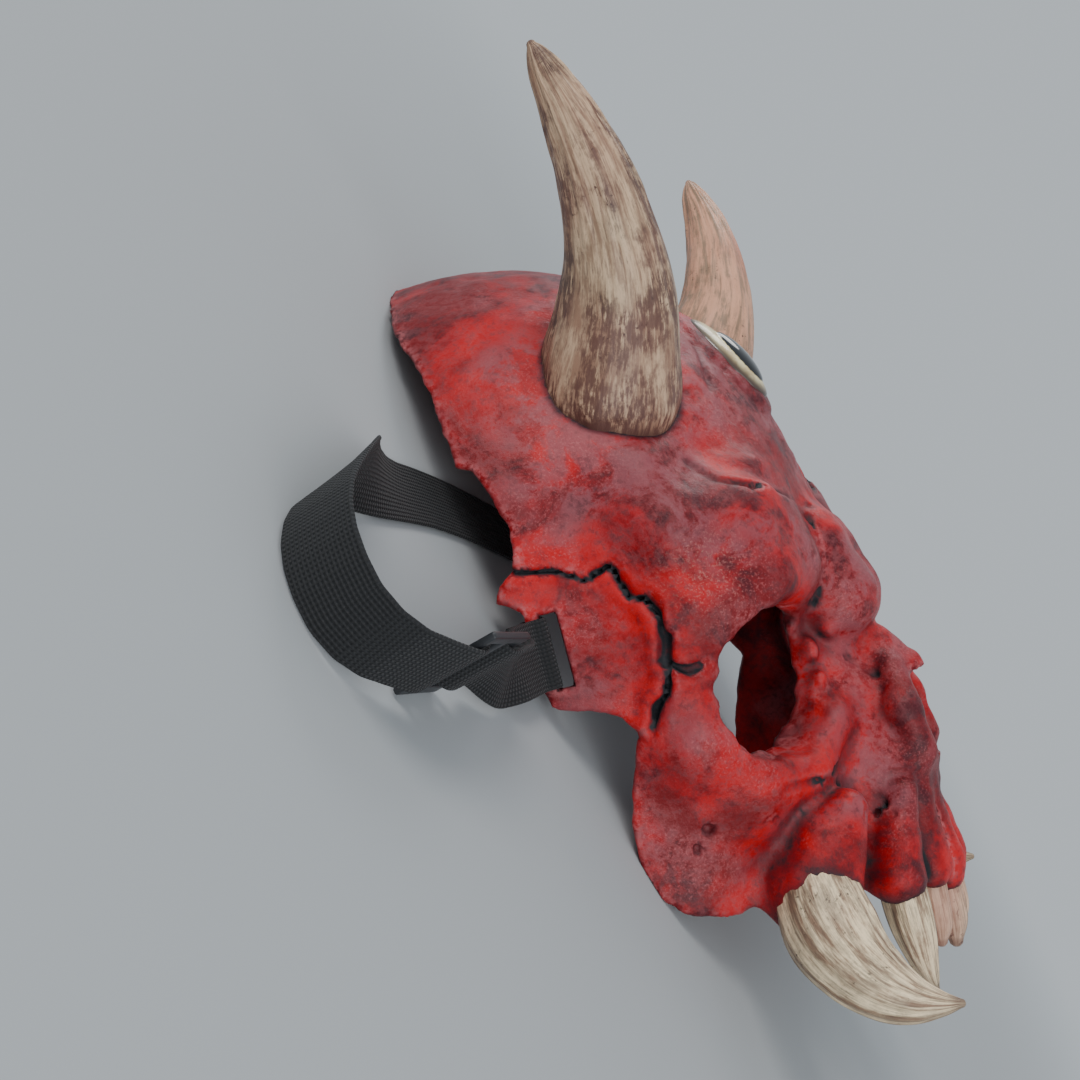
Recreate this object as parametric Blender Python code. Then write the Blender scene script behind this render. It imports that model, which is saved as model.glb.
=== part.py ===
"""Oni mask: the upper face of a demon's skull, worn with a head strap, lying face up on its rim.

The form is worked out in millimetres in the mask's own axes: x to the mask's left, f forward out
of the face and u up the face, with the middle plane at x = 0. lay() turns those into the lying
part: +X to the mask's left, +Y from the teeth to the crown, +Z up, origin at the crown's rest.
"""
import itertools
import math

import bmesh
import bpy
import numpy as np

# Driving sizes, in millimetres
WALL = 4.0
CRANIUM_CENTRE = (0.0, -15.0, 5.0)
CRANIUM_RADII = (84.0, 90.0, 91.0)
SOCKET_CENTRE = (42.5, 66.0, -12.5)
SOCKET_HALF = (21.5, 18.5)
SOCKET_TURN = 34.0
NOSE_CENTRE = (0.0, 104.0, -26.0)
NOSE_RADII = (11.0, 18.0, 11.5)
EYE_CENTRE = (49.2, 69.9)
EYE_TILT = 45.0
EYE_HALF_WIDTH = 9.5
EYE_HALF_LENGTH = 15.5
EYE_BULGE = 3.6
EYE_SEAT = 2.0
HORN_SEAT = 1.2
HORN_GAP = 0.5
STRAP_WIDTH = 17.0
STRAP_THICKNESS = 1.2
SLOT_CENTRE = (24.1, -3.45)
SLOT_LEAN = 15.5
SLOT_LENGTH = 18.0
SLOT_WIDTH = 4.2
BAR_WIDTH = 3.4
STRAP_CLEARANCE = 0.45
FAR_TAIL_EARLY = 3.0
CROWN_REST = (-42.25, 90.0)
CHEEK_REST = (44.8, -60.8)
GAP = 0.3
MASK_TRIANGLES = 5000
GRID_STEP = 2.0
GRID_LOW = (-50.0, -82.0)
GRID_HIGH = (124.0, 104.0)
GRID_SIDE = 92.0
MM = 0.001

# Side outline of the rim as (f, u), from the crown down to the teeth and round the front
RIM = [
    (-46.0, 112.0), (-46.0, 88.0), (-39.0, 83.8), (-33.0, 78.5), (-26.0, 71.0), (-19.4, 65.3),
    (-11.2, 56.1), (-7.4, 48.7), (-2.6, 39.5), (1.3, 39.0), (5.6, 34.2), (11.7, 24.7),
    (13.4, 17.6), (12.8, 14.0), (9.8, 10.6), (9.8, 7.6), (15.7, 5.3), (20.9, -13.6),
    (22.3, -17.5), (31.0, -17.9), (37.5, -19.4), (42.0, -23.8), (40.4, -32.7), (39.8, -46.1),
    (41.6, -56.5), (46.0, -64.6), (53.0, -69.0), (61.2, -70.5), (67.0, -68.5), (76.0, -67.4),
    (135.0, -67.4), (135.0, 112.0),
]

# Half-width and front of the face at heights u, as (u, size)
FACE_WIDTHS = [(40, 72), (15, 78), (0, 78), (-20, 76), (-45, 73), (-70, 69), (-110, 66)]
FACE_FRONTS = [(40, 52), (10, 60), (-20, 70), (-45, 77), (-70, 80), (-110, 80)]
SNOUT_WIDTHS = [(6, 16), (-4, 20), (-12, 24), (-20, 27), (-30, 31), (-40, 34), (-64, 40), (-110, 41)]
SNOUT_FRONTS = [
    (6, 76), (-4, 82), (-10, 88), (-20, 97), (-30, 102), (-38, 108), (-50, 107), (-64, 112.5),
    (-110, 113),
]

# Bones as chains of round swellings, ((x, f, u), radius), for the left side
TEMPLE_RIDGE = [
    ((58, 26, 44), 3), ((58, 38, 36), 5.5), ((58, 47, 24), 7), ((59, 50.5, 8), 7), ((61, 49.5, -4), 6),
]
BROW = [
    ((61, 50, -3), 6), ((56, 58, 5), 8), ((46, 64, 12), 9.5), ((31, 68.5, 14), 9.5), ((20, 70, 13), 8),
]
BROW_CREASE = [((6, 78, 35), 2), ((20, 76, 36), 4), ((36, 68.5, 39), 4), ((52, 57, 43), 2)]
BULB = [((6, 60, 30), 8.5), ((6.5, 71, 16), 12), ((6.5, 78.5, 4), 13)]
NASAL_BONES = [((0, 82, -6), 7.5), ((0, 90.5, -12.5), 7.2), ((0, 98.3, -15), 4.9)]
NOSE_RIM = [((7.0, 95.5, -14.5), 3.6), ((13.0, 98.5, -24.0), 4.4), ((12.0, 103.5, -35.0), 4.2)]
CHEEKBONE = [
    ((62.5, 49, -10), 5.5), ((61.5, 54, -26), 8), ((50, 65, -37.5), 9), ((38, 74, -36), 8),
    ((28, 81, -26), 5),
]
TUSK_GUM = [((37, 87, -46), 5), ((42, 83.5, -53.5), 9), ((46.5, 80.5, -64.5), 12.4)]
CANINE_GUM = [((22, 100, -44), 3.5), ((26, 99, -56), 5.5), ((28, 99.5, -65), 7.4)]
LATERAL_GUM = [((12.5, 104, -48), 2.5), ((14.4, 106.2, -65.5), 5.6)]
CENTRAL_GUM = [((4.5, 105, -48), 2.5), ((5.6, 108.8, -66), 5.8), ((5.8, 109.4, -70), 5.4)]

# Cracks between the plates of the skull, as (f, u)
SUTURE = [
    (14, 14.5), (21, 15.4), (27.7, 12.1), (33.8, 16.5), (39.1, 8.9), (43.4, 9.1), (48.2, -0.1),
    (48.7, -11.7), (45.9, -21),
]
SUTURE_BRANCH = [(47.8, -5.9), (53.6, -7.5), (60, -6)]
SUTURE_HALF_WIDTH = 1.2
SUTURE_DEPTH = 2.4

# Horns and teeth of the left side: (x, f, u, radius) along each one's middle line
HORN = [
    (40.0, 20.0, 30.0, 9.0), (43.5, 24.5, 42.0, 12.5), (46.0, 27.0, 52.0, 16.8), (47.8, 28.2, 58.5, 18.3),
    (51.2, 29.8, 67.0, 17.4), (56.2, 32.2, 78.1, 15.0), (62.0, 33.4, 89.0, 12.5),
    (67.1, 32.3, 99.8, 10.4), (72.2, 30.2, 110.0, 8.7), (76.9, 26.7, 120.1, 6.6),
    (81.1, 22.2, 129.5, 4.1), (83.0, 20.3, 133.6, 2.3), (83.8, 19.5, 135.2, 1.1),
]
TUSK = [
    (42.0, 79.5, -60.0, 8.5), (48.0, 81.0, -64.0, 10.4), (54.0, 85.8, -71.8, 11.6),
    (57.5, 92.0, -77.8, 10.2), (59.5, 98.8, -81.6, 8.2), (60.5, 105.2, -83.5, 5.8),
    (61.0, 111.3, -83.6, 3.1), (61.0, 116.0, -83.0, 1.0),
]
CANINE = [
    (26.5, 99.0, -62.0, 5.4), (27.5, 101.0, -70.0, 6.1), (27.4, 103.8, -79.0, 5.5),
    (26.6, 106.8, -88.0, 3.3), (25.5, 109.2, -93.5, 0.9),
]
LATERAL_INCISOR = [
    (14.2, 105.5, -62.0, 3.8), (14.3, 107.2, -72.0, 4.2), (14.0, 109.0, -80.0, 3.8),
    (13.6, 109.8, -85.0, 1.8),
]
CENTRAL_INCISOR = [
    (5.6, 108.0, -62.0, 3.6), (5.8, 110.0, -72.0, 4.2), (6.0, 112.4, -81.0, 4.0),
    (6.0, 113.4, -87.0, 2.0),
]

# Strap slider: three bars between two rails, the strap woven through
SLIDER_BAR = 2.4
SLIDER_THICKNESS = 1.6
SLIDER_PITCH = 7.4
SLIDER_RAIL = 2.8
SLIDER_CLEARANCE = 0.8
SLIDER_STATION = 4

# Free run of the strap on the ground from the right temple to the left one: (X, Y) from the bar
# and the turn of its width out of the ground's plane, in degrees
STRAP_ROUTE = [
    ((-98.0, -0.5), 28), ((-108.0, -0.16), 62), ((-118.0, 1.4), 90), ((-127.0, 2.8), 90),
    ((-136.0, 4.2), 90), ((-145.0, 5.6), 90), ((-154.0, 8.2), 90), ((-161.0, 15.0), 90),
    ((-163.0, 25.0), 90), ((-160.0, 35.0), 90), ((-152.0, 43.0), 90), ((-140.0, 48.0), 95),
    ((-126.0, 49.5), 120), ((-110.0, 49.5), 155), ((-94.0, 48.0), 178), ((-75.0, 44.0), 180),
    ((-50.0, 36.0), 180), ((-20.0, 24.0), 180), ((8.0, 12.0), 180), ((32.0, 4.0), 178),
    ((46.0, 1.0), 170), ((56.0, 0.0), 165),
]


def clear_scene():
    for obj in list(bpy.data.objects):
        bpy.data.objects.remove(obj, do_unlink=True)


# Distance fields, all in millimetres and negative inside


def smooth_min(a, b, blend):
    h = np.clip(0.5 + 0.5 * (b - a) / blend, 0.0, 1.0)
    return b + (a - b) * h - blend * h * (1.0 - h)


def smooth_max(a, b, blend):
    return -smooth_min(-a, -b, blend)


def ellipsoid(point, centre, radii):
    offset = [q - c for q, c in zip(point, centre)]
    near = np.sqrt(sum((e / r) ** 2 for e, r in zip(offset, radii)))
    slope = np.sqrt(sum((e / r ** 2) ** 2 for e, r in zip(offset, radii)))
    return near * (near - 1.0) / np.maximum(slope, 1e-6)


def swelling(point, start, end, start_radius, end_radius):
    run = [b - a for a, b in zip(start, end)]
    offset = [q - a for q, a in zip(point, start)]
    h = sum(e * w for e, w in zip(offset, run)) / sum(w * w for w in run)
    h = np.clip(h, 0.0, 1.0)
    gap = np.sqrt(sum((e - h * w) ** 2 for e, w in zip(offset, run)))
    return gap - (start_radius + h * (end_radius - start_radius))


def chain(point, knots, blend):
    whole = None
    for (a, ra), (b, rb) in zip(knots, knots[1:]):
        piece = swelling(point, a, b, ra, rb)
        whole = piece if whole is None else smooth_min(whole, piece, blend)
    return whole


def ramp(height, stations):
    rising = sorted(stations)
    return np.interp(height, [s[0] for s in rising], [s[1] for s in rising])


def column(point, widths, fronts, centre, power):
    """Upright body whose level sections are rounded boxes, from widths and fronts by height."""
    x, f, u = point
    half, reach = ramp(u, widths), ramp(u, fronts) - centre
    across, ahead = np.abs(x) / half, np.abs(f - centre) / reach
    level = np.maximum((across ** power + ahead ** power) ** (1.0 / power), 1e-3)
    slope = np.hypot(across ** (power - 1.0) / half, ahead ** (power - 1.0) / reach)
    slope = slope * level ** (1.0 - power)
    return (level - 1.0) / np.maximum(slope, 0.5 / np.maximum(half, reach))


def line_distance(px, py, points):
    best = None
    for (ax, ay), (bx, by) in zip(points, points[1:]):
        ex, ey = bx - ax, by - ay
        h = np.clip(((px - ax) * ex + (py - ay) * ey) / (ex * ex + ey * ey), 0.0, 1.0)
        gap = (px - ax - h * ex) ** 2 + (py - ay - h * ey) ** 2
        best = gap if best is None else np.minimum(best, gap)
    return np.sqrt(best)


def outline_distance(px, py, outline):
    inside = np.zeros(np.shape(px), bool)
    closed = outline + outline[:1]
    for (ax, ay), (bx, by) in zip(closed, closed[1:]):
        if ay == by:
            continue
        crossing = ax + (py - ay) * (bx - ax) / (by - ay)
        inside ^= ((ay > py) != (by > py)) & (px < crossing)
    gap = line_distance(px, py, closed)
    return np.where(inside, -gap, gap)


def eye_axes(x, f, u):
    """Distances across, along and out of the forehead from the middle of the third eye."""
    c, s = math.cos(math.radians(EYE_TILT)), math.sin(math.radians(EYE_TILT))
    df, du = f - EYE_CENTRE[0], u - EYE_CENTRE[1]
    return x, du * c - df * s, df * c + du * s


def face_form(x, f, u):
    """Outer surface of the mask, as a filled body."""
    point = (x, f, u)
    side = (np.sqrt(x * x + 6.0), f, u)
    form = ellipsoid(point, CRANIUM_CENTRE, CRANIUM_RADII)
    face = column(point, FACE_WIDTHS, FACE_FRONTS, 0.0, 3.2)
    face = smooth_max(face, u - 24.0, 12.0)
    form = smooth_min(form, face, 12.0)
    temple_hollow = ellipsoid(side, (91.0, 36.0, 16.0), (21.0, 20.0, 22.0))
    form = smooth_max(form, -temple_hollow, 12.0)
    form = smooth_min(form, chain(side, TEMPLE_RIDGE, 6.0), 12.0)
    form = smooth_min(form, chain(side, BROW, 6.0), 10.0)
    form = smooth_min(form, ellipsoid(side, (34.0, 56.0, 24.0), (24.0, 16.0, 17.0)), 9.0)
    form = smooth_max(form, -chain(side, BROW_CREASE, 2.0), 4.0)
    form = smooth_min(form, chain(side, BULB, 4.0), 4.0)
    snout = column(point, SNOUT_WIDTHS, SNOUT_FRONTS, 56.0, 2.0)
    form = smooth_min(form, smooth_max(snout, u + 2.0, 6.0), 7.0)
    form = smooth_min(form, chain(point, NASAL_BONES, 2.0), 2.0)
    form = smooth_min(form, chain(side, NOSE_RIM, 3.0), 4.0)
    form = smooth_min(form, chain(side, CHEEKBONE, 7.0), 10.0)
    cheek_hollow = ellipsoid(side, (44.0, 92.0, -50.0), (10.0, 14.0, 5.5))
    form = smooth_max(form, -cheek_hollow, 6.0)
    eyelids = ellipsoid(eye_axes(x, f, u), (0.0, 0.0, -2.0), (12.6, 19.0, 3.0))
    form = smooth_min(form, eyelids, 3.0)
    socket_dish = ellipsoid(side, (46.0, 78.0, -12.5), (20.0, 17.0, 18.5))
    return smooth_max(form, -socket_dish, 6.0)


def gum_form(x, f, u):
    """Solid swellings of the gum over each tooth."""
    side = (np.abs(x), f, u)
    back = smooth_min(chain(side, TUSK_GUM, 3.0), chain(side, CANINE_GUM, 3.0), 2.0)
    front = smooth_min(chain(side, LATERAL_GUM, 3.0), chain(side, CENTRAL_GUM, 3.0), 1.5)
    return smooth_min(back, front, 1.5)


def socket_form(x, f, u):
    """Opening through the face at each eye, along an axis turned out to the side."""
    c, s = math.cos(math.radians(SOCKET_TURN)), math.sin(math.radians(SOCKET_TURN))
    side, ahead = np.abs(x) - SOCKET_CENTRE[0], f - SOCKET_CENTRE[1]
    across, along = side * c - ahead * s, side * s + ahead * c
    power = 2.3
    level = np.abs(across / SOCKET_HALF[0]) ** power
    level = level + np.abs((u - SOCKET_CENTRE[2]) / SOCKET_HALF[1]) ** power
    return np.maximum((level ** (1.0 / power) - 1.0) * SOCKET_HALF[1], np.abs(along) - 32.0)


def mask_form(x, f, u):
    """The mask itself: a wall of even thickness with its rim, openings, gums and cracks."""
    face = face_form(x, f, u)
    shell = smooth_max(face, -(face + WALL), 1.0)
    shell = smooth_max(shell, outline_distance(f, u, RIM), 1.5)
    shell = smooth_min(shell, gum_form(x, f, u), 4.5)
    shell = smooth_max(shell, -socket_form(x, f, u), 3.0)
    shell = smooth_max(shell, -ellipsoid((x, f, u), NOSE_CENTRE, NOSE_RADII), 1.5)
    crack = np.minimum(line_distance(f, u, SUTURE), line_distance(f, u, SUTURE_BRANCH))
    crack = np.maximum(crack - SUTURE_HALF_WIDTH, -(face + SUTURE_DEPTH))
    crack = np.maximum(crack, 40.0 - np.abs(x))
    return smooth_max(shell, -crack, 0.8)


# The lying place


def rest_normal():
    """Forward and up shares of the direction that points up when the mask lies on its rim."""
    run = (CHEEK_REST[0] - CROWN_REST[0], CHEEK_REST[1] - CROWN_REST[1])
    length = math.hypot(*run)
    return -run[1] / length, run[0] / length


def lay(points):
    """Turns (x, f, u) points in millimetres into the lying part's (X, Y, Z), in millimetres."""
    points = np.asarray(points, float)
    nf, nu = rest_normal()
    f, u = points[..., 1] - CROWN_REST[0], points[..., 2] - CROWN_REST[1]
    return np.stack([points[..., 0], nf * u - nu * f, nf * f + nu * u], axis=-1)


# Meshes


def material(name, colour, roughness, metallic=0.0):
    made = bpy.data.materials.new(name)
    made.use_nodes = True
    shader = made.node_tree.nodes["Principled BSDF"]
    shader.inputs["Base Color"].default_value = (*colour, 1.0)
    shader.inputs["Roughness"].default_value = roughness
    shader.inputs["Metallic"].default_value = metallic
    made.diffuse_color = (*colour, 1.0)
    return made


def new_object(name, points_mm, faces, paint=None):
    """Object from points already in the lying place, in millimetres."""
    mesh = bpy.data.meshes.new(name)
    mesh.from_pydata((np.asarray(points_mm, float) * MM).tolist(), [], faces)
    mesh.update()
    obj = bpy.data.objects.new(name, mesh)
    bpy.context.scene.collection.objects.link(obj)
    if paint:
        mesh.materials.append(paint)
    return obj


def as_cutter(obj):
    obj.hide_render = True
    obj.display_type = "WIRE"
    return obj


def cut(obj, cutter):
    boolean = obj.modifiers.new("cut " + cutter.name, "BOOLEAN")
    boolean.operation = "DIFFERENCE"
    boolean.solver = "EXACT"
    boolean.object = cutter


def level_mesh(values, corner, step):
    """Closed mesh of the zero level of a grid of values, six four-cornered pieces to a cell."""
    shape = np.array(values.shape)
    nearest_end = 0.04
    sides = [(1, 0, 0), (0, 1, 0), (0, 0, 1), (1, 1, 0), (1, 0, 1), (0, 1, 1), (1, 1, 1)]
    flat_values = values.ravel()
    reach = np.array([shape[1] * shape[2], shape[2], 1])
    base = np.argwhere(np.ones(tuple(shape - 1), bool)) @ reach
    edges = []
    for order in itertools.permutations(range(3)):
        corners = [np.zeros(3, int)]
        for axis in order:
            corners.append(corners[-1] + np.eye(3, dtype=int)[axis])
        at = np.stack([base + c @ reach for c in corners], axis=1)
        inside = flat_values[at] < 0
        code = inside @ np.array([1, 2, 4, 8])

        def edge_number(rows, p, q):
            p, q = min(p, q), max(p, q)
            side = sides.index(tuple(corners[q] - corners[p]))
            return at[rows, p] * len(sides) + side

        for pattern in range(1, 15):
            rows = np.nonzero(code == pattern)[0]
            if not len(rows):
                continue
            within = [i for i in range(4) if pattern >> i & 1]
            without = [i for i in range(4) if not pattern >> i & 1]
            if len(within) == 2:
                (i, j), (k, m) = within, without
                ring = [edge_number(rows, i, k), edge_number(rows, i, m)]
                ring += [edge_number(rows, j, m), edge_number(rows, j, k)]
                edges.append(np.stack(ring[:3], axis=1))
                edges.append(np.stack([ring[0], ring[2], ring[3]], axis=1))
            else:
                lone = within[0] if len(within) == 1 else without[0]
                ring = [edge_number(rows, lone, i) for i in range(4) if i != lone]
                edges.append(np.stack(ring, axis=1))
    used, faces = np.unique(np.concatenate(edges), return_inverse=True)
    low = used // len(sides)
    side = np.array(sides)[used % len(sides)]
    high = low + side @ reach
    share = flat_values[low] / (flat_values[low] - flat_values[high])
    share = np.clip(share, nearest_end, 1.0 - nearest_end)
    spot = np.stack(np.unravel_index(low, tuple(shape)), axis=1) + share[:, None] * side
    return spot * step + np.asarray(corner), faces.reshape(-1, 3).tolist()


def mirrored_grid(form):
    """Values of a form that is the same on both sides, with the corner of its grid."""
    xs = np.arange(0.0, GRID_SIDE, GRID_STEP)
    fs = np.arange(GRID_LOW[0], GRID_HIGH[0], GRID_STEP)
    us = np.arange(GRID_LOW[1], GRID_HIGH[1], GRID_STEP)
    half = form(*np.meshgrid(xs, fs, us, indexing="ij"))
    return np.concatenate([half[:0:-1], half]), (-xs[-1], fs[0], us[0])


def smooth_line(knots, count):
    """Points at even steps along a smooth curve through the knots."""
    knots = np.asarray(knots, float)
    ends = [2 * knots[0] - knots[1]], [2 * knots[-1] - knots[-2]]
    row = np.concatenate([ends[0], knots, ends[1]])
    fine = []
    for i in range(1, len(row) - 2):
        a, b, c, d = row[i - 1], row[i], row[i + 1], row[i + 2]
        t = np.linspace(0.0, 1.0, 16, endpoint=False)[:, None]
        cubic = (3 * b - a - 3 * c + d) * t ** 3 + (2 * a - 5 * b + 4 * c - d) * t ** 2
        fine.append(0.5 * (cubic + (c - a) * t) + b)
    fine = np.concatenate(fine + [knots[-1:]])
    run = np.concatenate([[0.0], np.cumsum(np.linalg.norm(np.diff(fine[:, :3], axis=0), axis=1))])
    want = np.linspace(0.0, run[-1], count)
    return np.stack([np.interp(want, run, fine[:, i]) for i in range(fine.shape[1])], axis=1)


def mirrored(knots, side):
    return [(side * k[0],) + tuple(k[1:]) for k in knots]


def frames_along(line):
    """A pair of directions across the line at each point, carried along without twist."""
    tangents = np.gradient(line, axis=0)
    tangents /= np.linalg.norm(tangents, axis=1, keepdims=True)
    across = np.cross(tangents[0], (0.0, 1.0, 0.3))
    across /= np.linalg.norm(across)
    pairs = []
    for tangent in tangents:
        across = across - tangent * (across @ tangent)
        across /= np.linalg.norm(across)
        pairs.append((across, np.cross(tangent, across)))
    return pairs


def tapered_rod(knots, sides, rows, swell=0.0, sink=0.0):
    """Points and faces of a horn or tooth with round sections, closed at both ends."""
    line = smooth_line(knots, rows)
    middle, radii = line[:, :3].copy(), line[:, 3] + swell
    tangent = middle[1] - middle[0]
    middle[0] -= sink * tangent / np.linalg.norm(tangent)
    points, faces = [], []
    for centre, radius, (a, b) in zip(middle, radii, frames_along(middle)):
        for j in range(sides):
            turn = 2 * math.pi * j / sides
            points.append(centre + radius * (math.cos(turn) * a + math.sin(turn) * b))
    for i in range(rows - 1):
        for j in range(sides):
            k = (j + 1) % sides
            faces.append((i * sides + j, i * sides + k, (i + 1) * sides + k, (i + 1) * sides + j))
    faces.append(tuple(range(sides))[::-1])
    faces.append(tuple(range((rows - 1) * sides, rows * sides)))
    return np.array(points), faces


def seated_rod(knots, sides, rows, depth, swell=0.0):
    """Points and faces of a horn whose base follows the skull at a depth below its surface."""
    samples = 90
    line = smooth_line(knots, samples)
    middle, radii = line[:, :3], line[:, 3] + swell
    frames = frames_along(middle)
    first = np.array([f[0] for f in frames])
    second = np.array([f[1] for f in frames])

    def generator(turn, share):
        return middle + (radii * share)[:, None] * (math.cos(turn) * first + math.sin(turn) * second)

    def rising_place(side_line):
        level = face_form(*side_line.T) + depth
        last = np.nonzero(level < 0)[0].max()
        share = level[last] / (level[last] - level[last + 1])
        return last + share

    def point_at(side_line, place):
        low = min(int(place), samples - 2)
        return side_line[low] + (place - low) * (side_line[low + 1] - side_line[low])

    points, faces = [], []
    heart = generator(0.0, 0.0)
    points.append(point_at(heart, rising_place(heart)))
    shares = (0.35, 0.7)
    for share in shares:
        for j in range(sides):
            side_line = generator(2 * math.pi * j / sides, share)
            points.append(point_at(side_line, rising_place(side_line)))
    for i in range(rows):
        for j in range(sides):
            side_line = generator(2 * math.pi * j / sides, 1.0)
            start = rising_place(side_line)
            points.append(point_at(side_line, start + (samples - 1 - start) * i / (rows - 1)))
    for j in range(sides):
        faces.append((0, 1 + (j + 1) % sides, 1 + j))
    for i in range(len(shares) + rows - 1):
        for j in range(sides):
            k = (j + 1) % sides
            a, b = 1 + i * sides, 1 + (i + 1) * sides
            faces.append((a + j, a + k, b + k, b + j))
    last = 1 + (len(shares) + rows - 1) * sides
    faces.append(tuple(range(last, last + sides)))
    return np.array(points), faces


def eye_lens(swell=0.0):
    """Points and faces of the third eye: an oval dome with a flat back sunk in the forehead."""
    sides, rows = 20, 5
    c, s = math.cos(math.radians(EYE_TILT)), math.sin(math.radians(EYE_TILT))
    points, faces = [], []

    def add(across, along, out):
        forward, rise = out * c - along * s, along * c + out * s
        points.append((across, EYE_CENTRE[0] + forward, EYE_CENTRE[1] + rise))

    for i in range(-1, rows):
        lift = 0.5 * math.pi * max(i, 0) / rows
        out = -EYE_SEAT - swell if i < 0 else (EYE_BULGE + swell) * math.sin(lift)
        for j in range(sides):
            turn = 2 * math.pi * j / sides
            across = (EYE_HALF_WIDTH + swell) * math.cos(lift) * math.cos(turn)
            along = (EYE_HALF_LENGTH + swell) * math.cos(lift) * math.sin(turn)
            add(across, along, out)
    add(0.0, 0.0, EYE_BULGE + swell)
    for i in range(rows):
        for j in range(sides):
            k = (j + 1) % sides
            faces.append((i * sides + j, i * sides + k, (i + 1) * sides + k, (i + 1) * sides + j))
    for j in range(sides):
        faces.append((rows * sides + j, rows * sides + (j + 1) % sides, (rows + 1) * sides))
    faces.append(tuple(range(sides))[::-1])
    return np.array(points), faces


def face_out(obj):
    """Turns a closed mesh's faces outward."""
    work = bmesh.new()
    work.from_mesh(obj.data)
    bmesh.ops.recalc_face_normals(work, faces=work.faces)
    work.to_mesh(obj.data)
    work.free()


def solid(name, shape, paint=None, smooth=True):
    points, faces = shape
    obj = new_object(name, lay(points), faces, paint)
    face_out(obj)
    if smooth:
        obj.data.shade_smooth()
        obj.data.set_sharp_from_angle(angle=math.radians(40))
    return obj


# The strap and its slots


def unlay(points):
    """The way back from the lying place to (x, f, u)."""
    nf, nu = rest_normal()
    x, y, z = np.moveaxis(np.asarray(points, float), -1, 0)
    return x, CROWN_REST[0] - nu * y + nf * z, CROWN_REST[1] + nf * y + nu * z


def outer_x(back):
    """How far out the mask's surface is at a distance behind the slot's middle."""
    lean = math.radians(SLOT_LEAN)
    xs = np.linspace(50.0, 95.0, 451)
    f = np.full_like(xs, SLOT_CENTRE[0] - back * math.cos(lean))
    u = np.full_like(xs, SLOT_CENTRE[1] - back * math.sin(lean))
    return float(xs[face_form(xs, f, u) < 0].max())


def bar_frame(side):
    """A slot's bar: middle, directions along it, back across it and out of it, slope, thickness."""
    lean = math.radians(SLOT_LEAN)
    origin = lay((0.0, 0.0, 0.0))
    along = lay((0.0, -math.sin(lean), math.cos(lean))) - origin
    back = lay((0.0, -math.cos(lean), -math.sin(lean))) - origin
    reach = 0.5 * (SLOT_WIDTH + BAR_WIDTH)
    spread = 0.5 * BAR_WIDTH
    slope = (outer_x(reach + spread) - outer_x(reach - spread)) / (2.0 * spread)
    angle = math.atan(slope)
    out = side * math.cos(angle) * np.array([1.0, 0.0, 0.0]) - math.sin(angle) * back
    back = math.cos(angle) * back + side * math.sin(angle) * np.array([1.0, 0.0, 0.0])
    f = SLOT_CENTRE[0] - reach * math.cos(lean)
    u = SLOT_CENTRE[1] - reach * math.sin(lean)
    middle = lay((side * outer_x(reach), f, u))
    depths = np.linspace(-9.0, 3.0, 241)
    filled = []
    for a in (-0.5, -0.25, 0.0, 0.25, 0.5):
        for b in (-0.5, 0.0, 0.5):
            spot = middle + along * (a * STRAP_WIDTH) + back * (b * BAR_WIDTH)
            filled.append(depths[mask_form(*unlay(spot + depths[:, None] * out)) < 0])
    filled = np.concatenate(filled)
    middle = middle + out * 0.5 * (filled.max() + filled.min())
    return middle, along, back, out, angle, filled.max() - filled.min()


def slot_cutter(side):
    middle, along, back, out = bar_frame(side)[:4]
    middle = middle - back * 0.5 * (SLOT_WIDTH + BAR_WIDTH)
    corners = []
    for depth in (-6.0, 6.0):
        for a, b in ((-1, -1), (1, -1), (1, 1), (-1, 1)):
            across = back * (0.5 * b * SLOT_WIDTH) + along * (0.5 * a * SLOT_LENGTH)
            corners.append(middle + across + out * depth)
    cutter = new_object("strap slot " + ("left" if side > 0 else "right"), corners, box_faces())
    face_out(cutter)
    return as_cutter(cutter)


def box_faces():
    return [(0, 1, 2, 3), (7, 6, 5, 4)] + [(i, i + 4, (i + 1) % 4 + 4, (i + 1) % 4) for i in range(4)]


def loop_section(lean, thickness, early=0.0):
    """The strap's middle line round a slot's bar, as (out, back) from the bar's middle.

    The two free layers leave turned by the lean towards the back, sooner by the early amount.
    """
    half = 0.5 * STRAP_THICKNESS
    out = 0.5 * thickness + STRAP_CLEARANCE + half
    back = 0.5 * BAR_WIDTH + STRAP_CLEARANCE + half
    layer = STRAP_THICKNESS + GAP
    bend = 1.3
    leave = (math.cos(lean), math.sin(lean))
    path = []

    def corner(centre, start, end, steps=4):
        for i in range(steps + 1):
            turn = math.radians(start + (end - start) * i / steps)
            path.append((centre[0] + bend * math.cos(turn), centre[1] + bend * math.sin(turn)))

    rise = early * math.tan(-lean)
    corner((out + bend, back - layer - bend - rise), 90 + math.degrees(lean), 180)
    first = path[0]
    for reach in (6.0, 12.0):
        path.insert(0, (first[0] + reach * leave[0], first[1] + reach * leave[1]))
    corner((out - bend, -back + bend), 0, -90)
    corner((-out + bend, -back + bend), -90, -180)
    corner((-out + bend, back - bend), 180, 90)
    for reach in (0.0, 5.0, 10.0):
        path.append((first[0] - early + reach * leave[0], back + reach * leave[1]))
    return path


def slider_height():
    return STRAP_WIDTH + 2.0 * (SLIDER_CLEARANCE + SLIDER_RAIL)


def strap_wave(distance):
    """How far the strap steps aside where it weaves through the slider."""
    step = 0.5 * (SLIDER_THICKNESS + STRAP_THICKNESS) + GAP
    away, end = SLIDER_PITCH - 1.6, SLIDER_PITCH + 2.2
    places = [-end - 7.0, -end, -away, -1.6, 1.6, away, end, end + 7.0]
    shifts = [0.0, -step, -step, step, step, -step, -step, 0.0]
    return places, float(np.interp(distance, places, shifts))


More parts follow.
